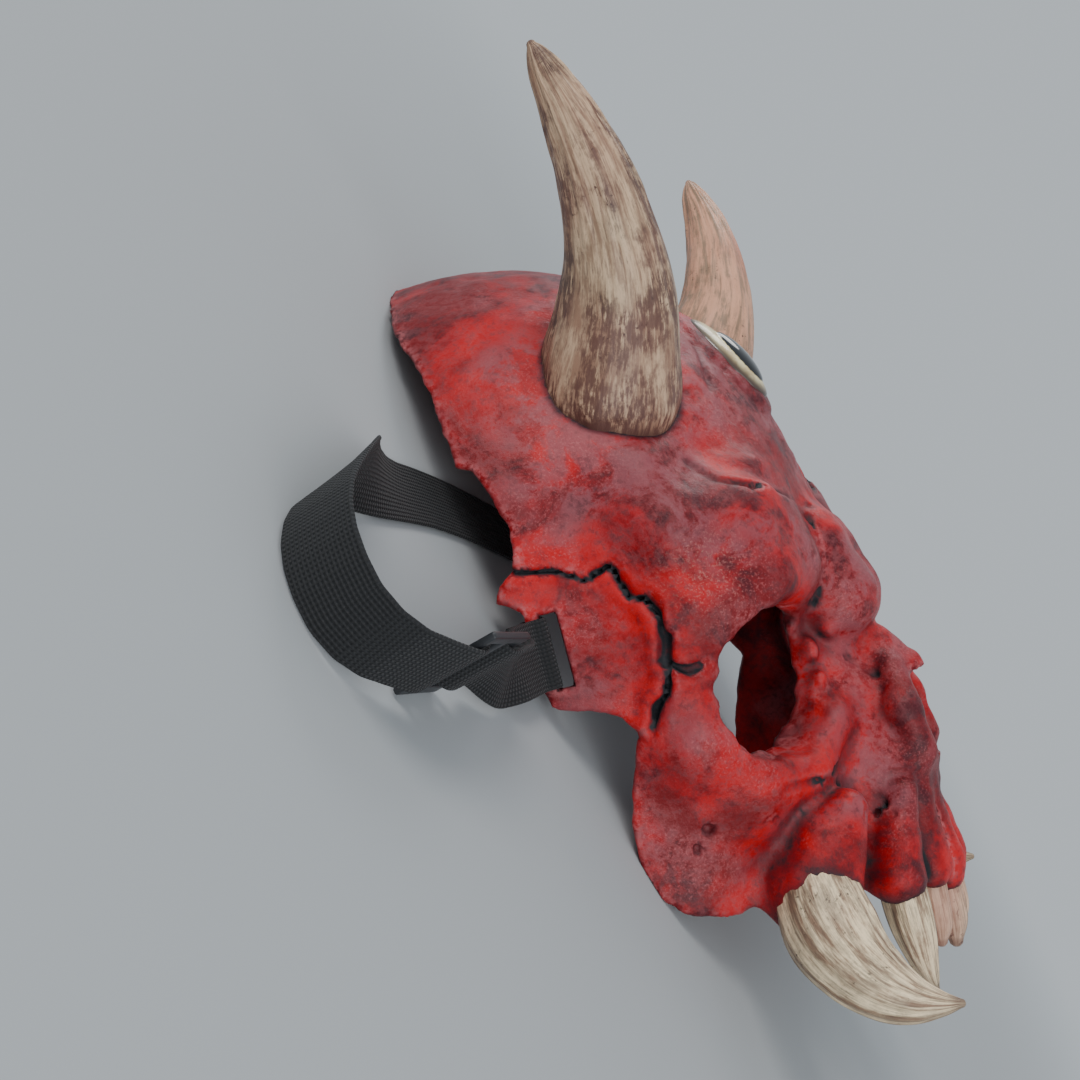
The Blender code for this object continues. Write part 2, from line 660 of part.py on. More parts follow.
def free_run():
    """The strap's run on the ground: places, headings, turns and distances from the slider."""
    near = bar_frame(-1)[0]
    knots = [(x, near[1] + y, 0.0, turn) for (x, y), turn in STRAP_ROUTE]
    fine = smooth_line(knots, 400)
    run = np.concatenate([[0.0], np.cumsum(np.linalg.norm(np.diff(fine[:, :3], axis=0), axis=1))])
    slider = np.array(knots[SLIDER_STATION][:2])
    middle = run[np.argmin(np.linalg.norm(fine[:, :2] - slider, axis=1))]
    weave = [middle + place for place in strap_wave(0.0)[0]]
    before = np.linspace(3.0, weave[0], 8)[:-1]
    after = np.linspace(weave[-1], run[-1] - 3.0, 42)[1:]
    stations = np.concatenate([before, weave, after])
    heading = np.gradient(fine[:, :3], axis=0)
    heading /= np.linalg.norm(heading, axis=1, keepdims=True)
    rows = []
    for station in stations:
        place = np.array([np.interp(station, run, fine[:, i]) for i in range(2)])
        ahead = np.array([np.interp(station, run, heading[:, i]) for i in range(3)])
        turn = math.radians(np.interp(station, run, fine[:, 3]))
        rows.append((place, ahead / np.linalg.norm(ahead), turn, station, station - middle))
    return rows, run[-1]


def strap_sections():
    """Middle points and width directions along the whole strap, end to end."""
    near, along, back, out, angle, thickness = bar_frame(-1)
    sections = []
    for side, down in reversed(loop_section(angle, thickness)):
        sections.append((near + out * side + back * down, along))
    far, far_along, far_back, far_out, far_angle, thickness = bar_frame(1)
    far_loop = loop_section(-far_angle, thickness, FAR_TAIL_EARLY)
    far_loop = [far - far_out * side + far_back * down for side, down in far_loop]
    up = np.array([0.0, 0.0, 1.0])
    rows, length = free_run()
    start_height, end_height = sections[-1][0][2], far_loop[0][2]
    half_width, half_thick = 0.5 * STRAP_WIDTH, 0.5 * STRAP_THICKNESS
    landing = 26.0
    held_reach, held_fade = 34.0, 22.0
    for place, ahead, turn, station, distance in rows:
        width = math.cos(turn) * np.cross(ahead, up) + math.sin(turn) * up
        rest = half_width * abs(math.sin(turn)) + half_thick * abs(math.cos(turn)) + GAP
        held = np.clip((held_reach - abs(distance)) / held_fade, 0.0, 1.0)
        rest += held * (0.5 * slider_height() - half_width)
        from_near = np.clip(station / landing, 0.0, 1.0)
        from_far = np.clip((length - station) / landing, 0.0, 1.0)
        lift = max(rest, start_height + (rest - start_height) * from_near)
        lift = max(lift, end_height + (rest - end_height) * from_far)
        shift = np.cross(ahead, width) * strap_wave(distance)[1]
        sections.append((np.array([place[0], place[1], lift]) + shift, width))
    for spot in far_loop:
        sections.append((spot, far_along))
    return sections


def slider_mesh():
    """A flat plate with two windows, standing on edge with the strap."""
    row = min(free_run()[0], key=lambda r: abs(r[4] - 1.6))
    place, ahead = row[0], row[1]
    up = np.array([0.0, 0.0, 1.0])
    aside = np.cross(ahead, up)
    middle = np.array([*place, 0.5 * slider_height() + GAP]) - ahead * row[4]
    bar = 0.5 * SLIDER_BAR
    runs = [-SLIDER_PITCH - bar, -SLIDER_PITCH + bar, -bar, bar, SLIDER_PITCH - bar, SLIDER_PITCH + bar]
    high = 0.5 * slider_height()
    rises = [-high, -high + SLIDER_RAIL, high - SLIDER_RAIL, high]
    points, faces = [], []
    for side in (-0.5, 0.5):
        for rise in rises:
            for run in runs:
                points.append(middle + ahead * run + up * rise + aside * (side * SLIDER_THICKNESS))
    columns, level = len(runs), len(runs) * len(rises)

    def filled(i, j):
        inside = 0 <= i < columns - 1 and 0 <= j < len(rises) - 1
        return inside and (i, j) not in ((1, 1), (3, 1))

    for i in range(columns - 1):
        for j in range(len(rises) - 1):
            if not filled(i, j):
                continue
            ring = [j * columns + i, j * columns + i + 1, (j + 1) * columns + i + 1, (j + 1) * columns + i]
            faces.append(tuple(ring[::-1]))
            faces.append(tuple(r + level for r in ring))
            for k, (a, b) in enumerate(((i, j - 1), (i + 1, j), (i, j + 1), (i - 1, j))):
                if not filled(a, b):
                    p, q = ring[k], ring[(k + 1) % 4]
                    faces.append((p, q, q + level, p + level))
    return points, faces


def strap_mesh():
    sections = strap_sections()
    middles = np.array([s[0] for s in sections])
    heading = np.gradient(middles, axis=0)
    points, faces = [], []
    for (middle, width), forward in zip(sections, heading):
        forward = forward / np.linalg.norm(forward)
        width = width - forward * (width @ forward)
        width /= np.linalg.norm(width)
        normal = np.cross(forward, width)
        for a, b in ((-1, -1), (1, -1), (1, 1), (-1, 1)):
            points.append(middle + width * (0.5 * a * STRAP_WIDTH) + normal * (0.5 * b * STRAP_THICKNESS))
    for i in range(len(sections) - 1):
        for j in range(4):
            k = (j + 1) % 4
            faces.append((4 * i + j, 4 * i + k, 4 * i + 4 + k, 4 * i + 4 + j))
    last = 4 * (len(sections) - 1)
    faces += [(3, 2, 1, 0), (last, last + 1, last + 2, last + 3)]
    return points, faces


def build_mask(red):
    values, corner = mirrored_grid(mask_form)
    points, triangles = level_mesh(values, corner, GRID_STEP)
    mask = new_object("mask_body", lay(points), triangles, red)
    face_out(mask)
    fewer = mask.modifiers.new("fewer triangles", "DECIMATE")
    fewer.ratio = MASK_TRIANGLES / len(triangles)
    ground = new_object("ground slab", *ground_slab())
    face_out(ground)
    cut(mask, as_cutter(ground))
    for side in (-1, 1):
        cut(mask, slot_cutter(side))
    mask.data.shade_smooth()
    mask.data.set_sharp_from_angle(angle=math.radians(40))
    return mask


def ground_slab():
    corners = []
    for z in (-30.0, 0.0):
        corners += [(x, y, z) for x, y in ((-150, -300), (150, -300), (150, 80), (-150, 80))]
    return corners, box_faces()


def build_ivory(mask, ivory):
    for side, word in ((-1, "right"), (1, "left")):
        horn = mirrored(HORN, side)
        solid("horn_" + word, seated_rod(horn, 14, 12, HORN_SEAT), ivory)
        seat = seated_rod(horn, 14, 12, HORN_SEAT + 2.0 * HORN_GAP, HORN_GAP)
        cut(mask, as_cutter(solid("horn seat " + word, seat, smooth=False)))
        teeth = [
            ("tusk_", TUSK, 12, 11), ("canine_", CANINE, 8, 7),
            ("lateral_incisor_", LATERAL_INCISOR, 8, 6), ("central_incisor_", CENTRAL_INCISOR, 8, 6),
        ]
        for name, knots, sides, rows in teeth:
            tooth = mirrored(knots, side)
            solid(name + word, tapered_rod(tooth, sides, rows), ivory)
            root = tapered_rod(tooth, sides, rows, GAP, GAP)
            cut(mask, as_cutter(solid("root of " + name + word, root, smooth=False)))


def build_eye(mask, paint):
    solid("third_eye", eye_lens(), paint)
    cut(mask, as_cutter(solid("third eye seat", eye_lens(GAP), smooth=False)))


def main():
    clear_scene()
    red = material("red paint", (0.50, 0.02, 0.025), 0.45)
    ivory = material("aged ivory", (0.50, 0.36, 0.22), 0.5)
    eye = material("eye", (0.75, 0.65, 0.40), 0.2)
    webbing = material("black webbing", (0.015, 0.016, 0.018), 0.85)
    plastic = material("black plastic", (0.02, 0.022, 0.026), 0.4)
    mask = build_mask(red)
    build_ivory(mask, ivory)
    build_eye(mask, eye)
    strap = new_object("head_strap", *strap_mesh(), webbing)
    face_out(strap)
    slider = new_object("strap_slider", *slider_mesh(), plastic)
    face_out(slider)


main()
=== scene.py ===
"""Looks of the oni mask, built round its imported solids, in their frame and in metres.

The mask's form is worked out in millimetres in its own axes (x to its left, f forward, u up the
face) and turned into the lying place by lay(), as in the part's source.
"""
import math

import bpy
import numpy as np
from mathutils import Matrix


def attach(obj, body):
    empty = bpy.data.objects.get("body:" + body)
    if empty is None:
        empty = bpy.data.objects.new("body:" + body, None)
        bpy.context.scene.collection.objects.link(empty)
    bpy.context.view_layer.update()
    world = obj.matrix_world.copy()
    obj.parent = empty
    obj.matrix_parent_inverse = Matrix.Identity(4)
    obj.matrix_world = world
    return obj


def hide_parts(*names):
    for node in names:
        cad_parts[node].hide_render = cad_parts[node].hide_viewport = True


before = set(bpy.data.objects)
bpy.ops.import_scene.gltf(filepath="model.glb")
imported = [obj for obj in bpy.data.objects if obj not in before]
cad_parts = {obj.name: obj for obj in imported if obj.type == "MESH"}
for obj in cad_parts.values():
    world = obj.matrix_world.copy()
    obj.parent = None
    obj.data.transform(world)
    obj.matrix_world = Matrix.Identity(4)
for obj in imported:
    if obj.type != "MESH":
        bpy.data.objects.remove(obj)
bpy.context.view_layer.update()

MM = 0.001

# The part's own driving sizes, in millimetres
WALL = 4.0
CRANIUM_CENTRE = (0.0, -15.0, 5.0)
CRANIUM_RADII = (84.0, 90.0, 91.0)
SOCKET_CENTRE = (42.5, 66.0, -12.5)
SOCKET_HALF = (21.5, 18.5)
SOCKET_TURN = 34.0
NOSE_CENTRE = (0.0, 104.0, -26.0)
NOSE_RADII = (11.0, 18.0, 11.5)
EYE_CENTRE = (49.2, 69.9)
EYE_TILT = 45.0
EYE_HALF_WIDTH = 9.5
EYE_HALF_LENGTH = 15.5
EYE_BULGE = 3.6
EYE_SEAT = 2.0
STRAP_WIDTH = 17.0
STRAP_THICKNESS = 1.2
SLOT_CENTRE = (24.1, -3.45)
SLOT_LEAN = 15.5
SLOT_LENGTH = 18.0
SLOT_WIDTH = 4.2
BAR_WIDTH = 3.4
STRAP_CLEARANCE = 0.45
FAR_TAIL_EARLY = 3.0
CROWN_REST = (-42.25, 90.0)
CHEEK_REST = (44.8, -60.8)
GAP = 0.3
SLIDER_BAR = 2.4
SLIDER_THICKNESS = 1.6
SLIDER_PITCH = 7.4
SLIDER_RAIL = 2.8
SLIDER_CLEARANCE = 0.8
SLIDER_STATION = 4

# Sizes of the finer surface, in millimetres
FINE_STEP = 1.2
FORM_LOW = (-90.0, -49.0, -80.0)
FORM_HIGH = (90.0, 122.0, 101.0)
HORN_SKIN = 2.2
GRAIN_TURN = 4.0
GRAIN_PITCH = 0.045
CRACK_END = 56.5
EYE_SUNK = 0.4
PUPIL_HALF = (5.8, 9.6)
PUPIL_DROP = 2.2
PUPIL_SWELL = 1.5
RIB_COUNT = 17
RIB_HEIGHT = 0.09
STITCH_PITCH = 1.1

# The photo's camera, in pixels from the picture's middle: its focal length, where the mask's left
# points to, and where the mask's own origin is seen, with that origin's depth in millimetres
PHOTO_SIDE = 1080.0
FOCAL = 1376.0
VANISHING = (457.0, 85.0)
ORIGIN_SEEN = (20.0, -60.0)
ORIGIN_DEPTH = 405.0

# The room's grey, and the ground's middle, in metres
PALE = (0.53, 0.58, 0.62)
MIDDLE = (0.0, -0.11, 0.0)

# Side outline of the rim as (f, u), from the crown down to the teeth and round the front
RIM = [
    (-46.0, 112.0), (-46.0, 88.0), (-39.0, 83.8), (-33.0, 78.5), (-26.0, 71.0), (-19.4, 65.3),
    (-11.2, 56.1), (-7.4, 48.7), (-2.6, 39.5), (1.3, 39.0), (5.6, 34.2), (11.7, 24.7),
    (13.4, 17.6), (12.8, 14.0), (9.8, 10.6), (9.8, 7.6), (15.7, 5.3), (20.9, -13.6),
    (22.3, -17.5), (31.0, -17.9), (37.5, -19.4), (42.0, -23.8), (40.4, -32.7), (39.8, -46.1),
    (41.6, -56.5), (46.0, -64.6), (53.0, -69.0), (61.2, -70.5), (67.0, -68.5), (76.0, -67.4),
    (135.0, -67.4), (135.0, 112.0),
]

# Half-width and front of the face at heights u, as (u, size)
FACE_WIDTHS = [(40, 72), (15, 78), (0, 78), (-20, 76), (-45, 73), (-70, 69), (-110, 66)]
FACE_FRONTS = [(40, 52), (10, 60), (-20, 70), (-45, 77), (-70, 80), (-110, 80)]
SNOUT_WIDTHS = [(6, 16), (-4, 20), (-12, 24), (-20, 27), (-30, 31), (-40, 34), (-64, 40), (-110, 41)]
SNOUT_FRONTS = [
    (6, 76), (-4, 82), (-10, 88), (-20, 97), (-30, 102), (-38, 108), (-50, 107), (-64, 112.5),
    (-110, 113),
]

# Bones as chains of round swellings, ((x, f, u), radius), for the left side
TEMPLE_RIDGE = [
    ((58, 26, 44), 3), ((58, 38, 36), 5.5), ((58, 47, 24), 7), ((59, 50.5, 8), 7), ((61, 49.5, -4), 6),
]
BROW = [
    ((61, 50, -3), 6), ((56, 58, 5), 8), ((46, 64, 12), 9.5), ((31, 68.5, 14), 9.5), ((20, 70, 13), 8),
]
BROW_CREASE = [((6, 78, 35), 2), ((20, 76, 36), 4), ((36, 68.5, 39), 4), ((52, 57, 43), 2)]
BULB = [((6, 60, 30), 8.5), ((6.5, 71, 16), 12), ((6.5, 78.5, 4), 13)]
NASAL_BONES = [((0, 82, -6), 7.5), ((0, 90.5, -12.5), 7.2), ((0, 98.3, -15), 4.9)]
NOSE_RIM = [((7.0, 95.5, -14.5), 3.6), ((13.0, 98.5, -24.0), 4.4), ((12.0, 103.5, -35.0), 4.2)]
CHEEKBONE = [
    ((62.5, 49, -10), 5.5), ((61.5, 54, -26), 8), ((50, 65, -37.5), 9), ((38, 74, -36), 8),
    ((28, 81, -26), 5),
]
TUSK_GUM = [((37, 87, -46), 5), ((42, 83.5, -53.5), 9), ((46.5, 80.5, -64.5), 12.4)]
CANINE_GUM = [((22, 100, -44), 3.5), ((26, 99, -56), 5.5), ((28, 99.5, -65), 7.4)]
LATERAL_GUM = [((12.5, 104, -48), 2.5), ((14.4, 106.2, -65.5), 5.6)]
CENTRAL_GUM = [((4.5, 105, -48), 2.5), ((5.6, 108.8, -66), 5.8), ((5.8, 109.4, -70), 5.4)]

# Cracks between the plates of the skull, as (f, u)
SUTURE = [
    (14, 14.5), (21, 15.4), (27.7, 12.1), (33.8, 16.5), (39.1, 8.9), (43.4, 9.1), (48.2, -0.1),
    (48.7, -11.7), (45.9, -21),
]
SUTURE_BRANCH = [(47.8, -5.9), (53.6, -7.5), (60, -6)]
SUTURE_HALF_WIDTH = 1.2
SUTURE_DEPTH = 2.4

# Free run of the strap on the ground from the right temple to the left one: (X, Y) from the bar
# and the turn of its width out of the ground's plane, in degrees
STRAP_ROUTE = [
    ((-98.0, -0.5), 28), ((-108.0, -0.16), 62), ((-118.0, 1.4), 90), ((-127.0, 2.8), 90),
    ((-136.0, 4.2), 90), ((-145.0, 5.6), 90), ((-154.0, 8.2), 90), ((-161.0, 15.0), 90),
    ((-163.0, 25.0), 90), ((-160.0, 35.0), 90), ((-152.0, 43.0), 90), ((-140.0, 48.0), 95),
    ((-126.0, 49.5), 120), ((-110.0, 49.5), 155), ((-94.0, 48.0), 178), ((-75.0, 44.0), 180),
    ((-50.0, 36.0), 180), ((-20.0, 24.0), 180), ((8.0, 12.0), 180), ((32.0, 4.0), 178),
    ((46.0, 1.0), 170), ((56.0, 0.0), 165),
]

# Horns and teeth of the left side: (x, f, u, radius) along each one's middle line
HORN = [
    (40.0, 20.0, 30.0, 9.0), (43.5, 24.5, 42.0, 12.5), (46.0, 27.0, 52.0, 16.8), (47.8, 28.2, 58.5, 18.3),
    (51.2, 29.8, 67.0, 17.4), (56.2, 32.2, 78.1, 15.0), (62.0, 33.4, 89.0, 12.5),
    (67.1, 32.3, 99.8, 10.4), (72.2, 30.2, 110.0, 8.7), (76.9, 26.7, 120.1, 6.6),
    (81.1, 22.2, 129.5, 4.1), (83.0, 20.3, 133.6, 2.3), (83.8, 19.5, 135.2, 1.1),
]
TUSK = [
    (42.0, 79.5, -60.0, 8.5), (48.0, 81.0, -64.0, 10.4), (54.0, 85.8, -71.8, 11.6),
    (57.5, 92.0, -77.8, 10.2), (59.5, 98.8, -81.6, 8.2), (60.5, 105.2, -83.5, 5.8),
    (61.0, 111.3, -83.6, 3.1), (61.0, 116.0, -83.0, 1.0),
]
CANINE = [
    (26.5, 99.0, -62.0, 5.4), (27.5, 101.0, -70.0, 6.1), (27.4, 103.8, -79.0, 5.5),
    (26.6, 106.8, -88.0, 3.3), (25.5, 109.2, -93.5, 0.9),
]
LATERAL_INCISOR = [
    (14.2, 105.5, -62.0, 3.8), (14.3, 107.2, -72.0, 4.2), (14.0, 109.0, -80.0, 3.8),
    (13.6, 109.8, -85.0, 1.8),
]
CENTRAL_INCISOR = [
    (5.6, 108.0, -62.0, 3.6), (5.8, 110.0, -72.0, 4.2), (6.0, 112.4, -81.0, 4.0),
    (6.0, 113.4, -87.0, 2.0),
]

# Pale rubbed spot on the right brow: its middle and reach
BROW_STAIN = (-62.0, 55.0, 14.0)
STAIN_REACH = 15.0

# Finer relief of the left side: furrows as ((x, f, u), ...), half width and depth
FURROWS = [
    ([(51, 49, 41), (52, 56, 37), (48, 64, 35), (26, 71, 32), (9, 74, 29)], 0.8, 1.1),
    ([(15, 43, 73), (22, 47, 67), (28, 50, 60)], 0.7, 1.0),
    ([(15.5, 74, 26), (16.5, 77, 14), (20, 76, 4)], 0.9, 1.1),
    ([(54, 75, -38), (46, 79.5, -38), (30, 85, -36), (24, 88, -30)], 0.8, 1.1),
    ([(12, 84, -11), (9.5, 90, -15), (7.5, 95, -20)], 0.6, 1.0),
    ([(62, 60, -33), (56, 68, -42), (50, 76, -50)], 0.5, 0.5),
    ([(34, 86, -42), (33, 89, -50), (33, 91, -60)], 1.8, 3.0),
    ([(20, 99, -48), (20.5, 103, -57), (21, 106, -66)], 1.0, 1.4),
    ([(9.5, 106, -50), (10, 108.5, -58), (10.3, 110.5, -67)], 0.8, 1.2),
    ([(26, 92, -42), (24, 98, -50), (25, 101, -58)], 0.6, 0.6),
    ([(58, 60, -20), (61, 58, -26), (66, 56, -31)], 0.6, 0.5),
]

# Small round hollows and knobs of the left side, ((x, f, u), radius)
PITS = [
    ((25.4, 94.0, -49.4), 1.3), ((28.0, 97.9, -48.5), 1.3), ((62.6, 57.2, -47.3), 1.7),
    ((62.9, 54.7, -52.2), 1.3),
]
KNOBS = [
    ((20.5, 74.0, -9.0), 4.0), ((22.5, 77.5, -15.5), 2.6), ((26.0, 77.0, -23.0), 3.0),
    ((41.7, 88.0, -44.5), 4.2), ((33.0, 76.5, -30.0), 2.6), ((17.0, 80.0, -3.5), 2.4),
]


# Distance fields, in millimetres and negative inside


def smooth_min(a, b, blend):
    h = np.clip(0.5 + 0.5 * (b - a) / blend, 0.0, 1.0)
    return b + (a - b) * h - blend * h * (1.0 - h)


def smooth_max(a, b, blend):
    return -smooth_min(-a, -b, blend)


def ellipsoid(point, centre, radii):
    offset = [q - c for q, c in zip(point, centre)]
    near = np.sqrt(sum((e / r) ** 2 for e, r in zip(offset, radii)))
    slope = np.sqrt(sum((e / r ** 2) ** 2 for e, r in zip(offset, radii)))
    return near * (near - 1.0) / np.maximum(slope, 1e-6)


def swelling(point, start, end, start_radius, end_radius):
    run = [b - a for a, b in zip(start, end)]
    offset = [q - a for q, a in zip(point, start)]
    h = sum(e * w for e, w in zip(offset, run)) / sum(w * w for w in run)
    h = np.clip(h, 0.0, 1.0)
    gap = np.sqrt(sum((e - h * w) ** 2 for e, w in zip(offset, run)))
    return gap - (start_radius + h * (end_radius - start_radius))


def chain(point, knots, blend):
    whole = None
    for (a, ra), (b, rb) in zip(knots, knots[1:]):
        piece = swelling(point, a, b, ra, rb)
        whole = piece if whole is None else smooth_min(whole, piece, blend)
    return whole


def ramp(height, stations):
    rising = sorted(stations)
    return np.interp(height, [s[0] for s in rising], [s[1] for s in rising])


def column(point, widths, fronts, centre, power):
    x, f, u = point
    half, reach = ramp(u, widths), ramp(u, fronts) - centre
    across, ahead = np.abs(x) / half, np.abs(f - centre) / reach
    level = np.maximum((across ** power + ahead ** power) ** (1.0 / power), 1e-3)
    slope = np.hypot(across ** (power - 1.0) / half, ahead ** (power - 1.0) / reach)
    slope = slope * level ** (1.0 - power)
    return (level - 1.0) / np.maximum(slope, 0.5 / np.maximum(half, reach))


def line_distance(px, py, points):
    best = None
    for (ax, ay), (bx, by) in zip(points, points[1:]):
        ex, ey = bx - ax, by - ay
        h = np.clip(((px - ax) * ex + (py - ay) * ey) / (ex * ex + ey * ey), 0.0, 1.0)
        gap = (px - ax - h * ex) ** 2 + (py - ay - h * ey) ** 2
        best = gap if best is None else np.minimum(best, gap)
    return np.sqrt(best)


def outline_distance(px, py, outline):
    inside = np.zeros(np.shape(px), bool)
    closed = outline + outline[:1]
    for (ax, ay), (bx, by) in zip(closed, closed[1:]):
        if ay == by:
            continue
        crossing = ax + (py - ay) * (bx - ax) / (by - ay)
        inside ^= ((ay > py) != (by > py)) & (px < crossing)
    gap = line_distance(px, py, closed)
    return np.where(inside, -gap, gap)


def eye_axes(x, f, u):
    c, s = math.cos(math.radians(EYE_TILT)), math.sin(math.radians(EYE_TILT))
    df, du = f - EYE_CENTRE[0], u - EYE_CENTRE[1]
    return x, du * c - df * s, df * c + du * s


def hashed(i, j, k, seed):
    """Fixed value from -1 to 1 for each corner of a grid."""
    n = (i * 374761393 + j * 668265263 + k * 2147483647 + seed * 1274126177) & 0xFFFFFFFF
    n = ((n ^ (n >> 13)) * 1274126177) & 0xFFFFFFFF
    return ((n ^ (n >> 16)) & 0xFFFF) / 32767.5 - 1.0


def noise(points, size, seed):
    """Smooth value noise from -1 to 1 with lumps about the given size."""
    q = np.asarray(points) / size
    low = np.floor(q).astype(np.int64)
    t = q - low
    t = t * t * (3.0 - 2.0 * t)
    total = 0.0
    for di in (0, 1):
        for dj in (0, 1):
            for dk in (0, 1):
                corner = hashed(low[:, 0] + di, low[:, 1] + dj, low[:, 2] + dk, seed)
                share = np.where(di, t[:, 0], 1 - t[:, 0]) * np.where(dj, t[:, 1], 1 - t[:, 1])
                total = total + corner * share * np.where(dk, t[:, 2], 1 - t[:, 2])
    return total


def rough(points, size, seed, octaves=3, fall=0.5):
    """Noise with finer and weaker octaves added."""
    total, gain = 0.0, 1.0
    for i in range(octaves):
        total = total + gain * noise(points, size / 2 ** i, seed + i)
        gain *= fall
    return total


def face_form(x, f, u):
    point = (x, f, u)
    side = (np.sqrt(x * x + 6.0), f, u)
    form = ellipsoid(point, CRANIUM_CENTRE, CRANIUM_RADII)
    face = column(point, FACE_WIDTHS, FACE_FRONTS, 0.0, 3.2)
    face = smooth_max(face, u - 24.0, 12.0)
    form = smooth_min(form, face, 12.0)
    temple_hollow = ellipsoid(side, (91.0, 36.0, 16.0), (21.0, 20.0, 22.0))
    form = smooth_max(form, -temple_hollow, 12.0)
    form = smooth_min(form, chain(side, TEMPLE_RIDGE, 6.0), 12.0)
    form = smooth_min(form, chain(side, BROW, 6.0), 10.0)
    form = smooth_min(form, ellipsoid(side, (34.0, 56.0, 24.0), (24.0, 16.0, 17.0)), 9.0)
    form = smooth_max(form, -chain(side, BROW_CREASE, 2.0), 4.0)
    form = smooth_min(form, chain(side, BULB, 4.0), 4.0)
    snout = column(point, SNOUT_WIDTHS, SNOUT_FRONTS, 56.0, 2.0)
    form = smooth_min(form, smooth_max(snout, u + 2.0, 6.0), 7.0)
    form = smooth_min(form, chain(point, NASAL_BONES, 2.0), 2.0)
    form = smooth_min(form, chain(side, NOSE_RIM, 3.0), 4.0)
    form = smooth_min(form, chain(side, CHEEKBONE, 7.0), 10.0)
    cheek_hollow = ellipsoid(side, (44.0, 92.0, -50.0), (10.0, 14.0, 5.5))
    form = smooth_max(form, -cheek_hollow, 6.0)
    eyelids = ellipsoid(eye_axes(x, f, u), (0.0, 0.0, -2.0), (12.6, 19.0, 3.0))
    form = smooth_min(form, eyelids, 3.0)
    socket_dish = ellipsoid(side, (46.0, 78.0, -12.5), (20.0, 17.0, 18.5))
    return smooth_max(form, -socket_dish, 6.0)


def gum_form(x, f, u):
    side = (np.abs(x), f, u)
    back = smooth_min(chain(side, TUSK_GUM, 3.0), chain(side, CANINE_GUM, 3.0), 2.0)
    front = smooth_min(chain(side, LATERAL_GUM, 3.0), chain(side, CENTRAL_GUM, 3.0), 1.5)
    return smooth_min(back, front, 1.5)


def socket_form(x, f, u):
    c, s = math.cos(math.radians(SOCKET_TURN)), math.sin(math.radians(SOCKET_TURN))
    side, ahead = np.abs(x) - SOCKET_CENTRE[0], f - SOCKET_CENTRE[1]
    across, along = side * c - ahead * s, side * s + ahead * c
    power = 2.3
    level = np.abs(across / SOCKET_HALF[0]) ** power
    level = level + np.abs((u - SOCKET_CENTRE[2]) / SOCKET_HALF[1]) ** power
    return np.maximum((level ** (1.0 / power) - 1.0) * SOCKET_HALF[1], np.abs(along) - 32.0)


def mask_form(x, f, u):
    """The mask itself: a wall of even thickness with its rim, openings, gums and cracks."""
    face = face_form(x, f, u)
    shell = smooth_max(face, -(face + WALL), 1.0)
    shell = smooth_max(shell, outline_distance(f, u, RIM), 1.5)
    shell = smooth_min(shell, gum_form(x, f, u), 4.5)
    shell = smooth_max(shell, -socket_form(x, f, u), 3.0)
    shell = smooth_max(shell, -ellipsoid((x, f, u), NOSE_CENTRE, NOSE_RADII), 1.5)
    crack = np.minimum(line_distance(f, u, SUTURE), line_distance(f, u, SUTURE_BRANCH))
    crack = np.maximum(crack - SUTURE_HALF_WIDTH, -(face + SUTURE_DEPTH))
    crack = np.maximum(crack, 40.0 - np.abs(x))
    return smooth_max(shell, -crack, 0.8)


def suture_distance(f, u, points):
    """How far a point is from the cracks, along a line that jags from side to side."""
    f = f + (1.0 * noise(points, 4.2, 91) + 0.5 * noise(points, 1.9, 95)).reshape(np.shape(f))
    u = u + (1.0 * noise(points, 4.2, 93) + 0.5 * noise(points, 1.9, 97)).reshape(np.shape(u))
    return np.minimum(line_distance(f, u, SUTURE), line_distance(f, u, SUTURE_BRANCH))


def slot_form(x, f, u):
    """The strap's two slots, each a box in its bar's own directions."""
    spots = lay(np.stack([x, f, u], axis=-1))
    whole = None
    for middle, along, back, out in SLOT_FRAMES:
        offset = spots - (middle - back * 0.5 * (SLOT_WIDTH + BAR_WIDTH))
        a = np.abs(offset @ along) - 0.5 * SLOT_LENGTH
        b = np.abs(offset @ back) - 0.5 * SLOT_WIDTH
        c = np.abs(offset @ out) - 6.0
        box = np.maximum(np.maximum(a, b), c)
        whole = box if whole is None else np.minimum(whole, box)
    return whole


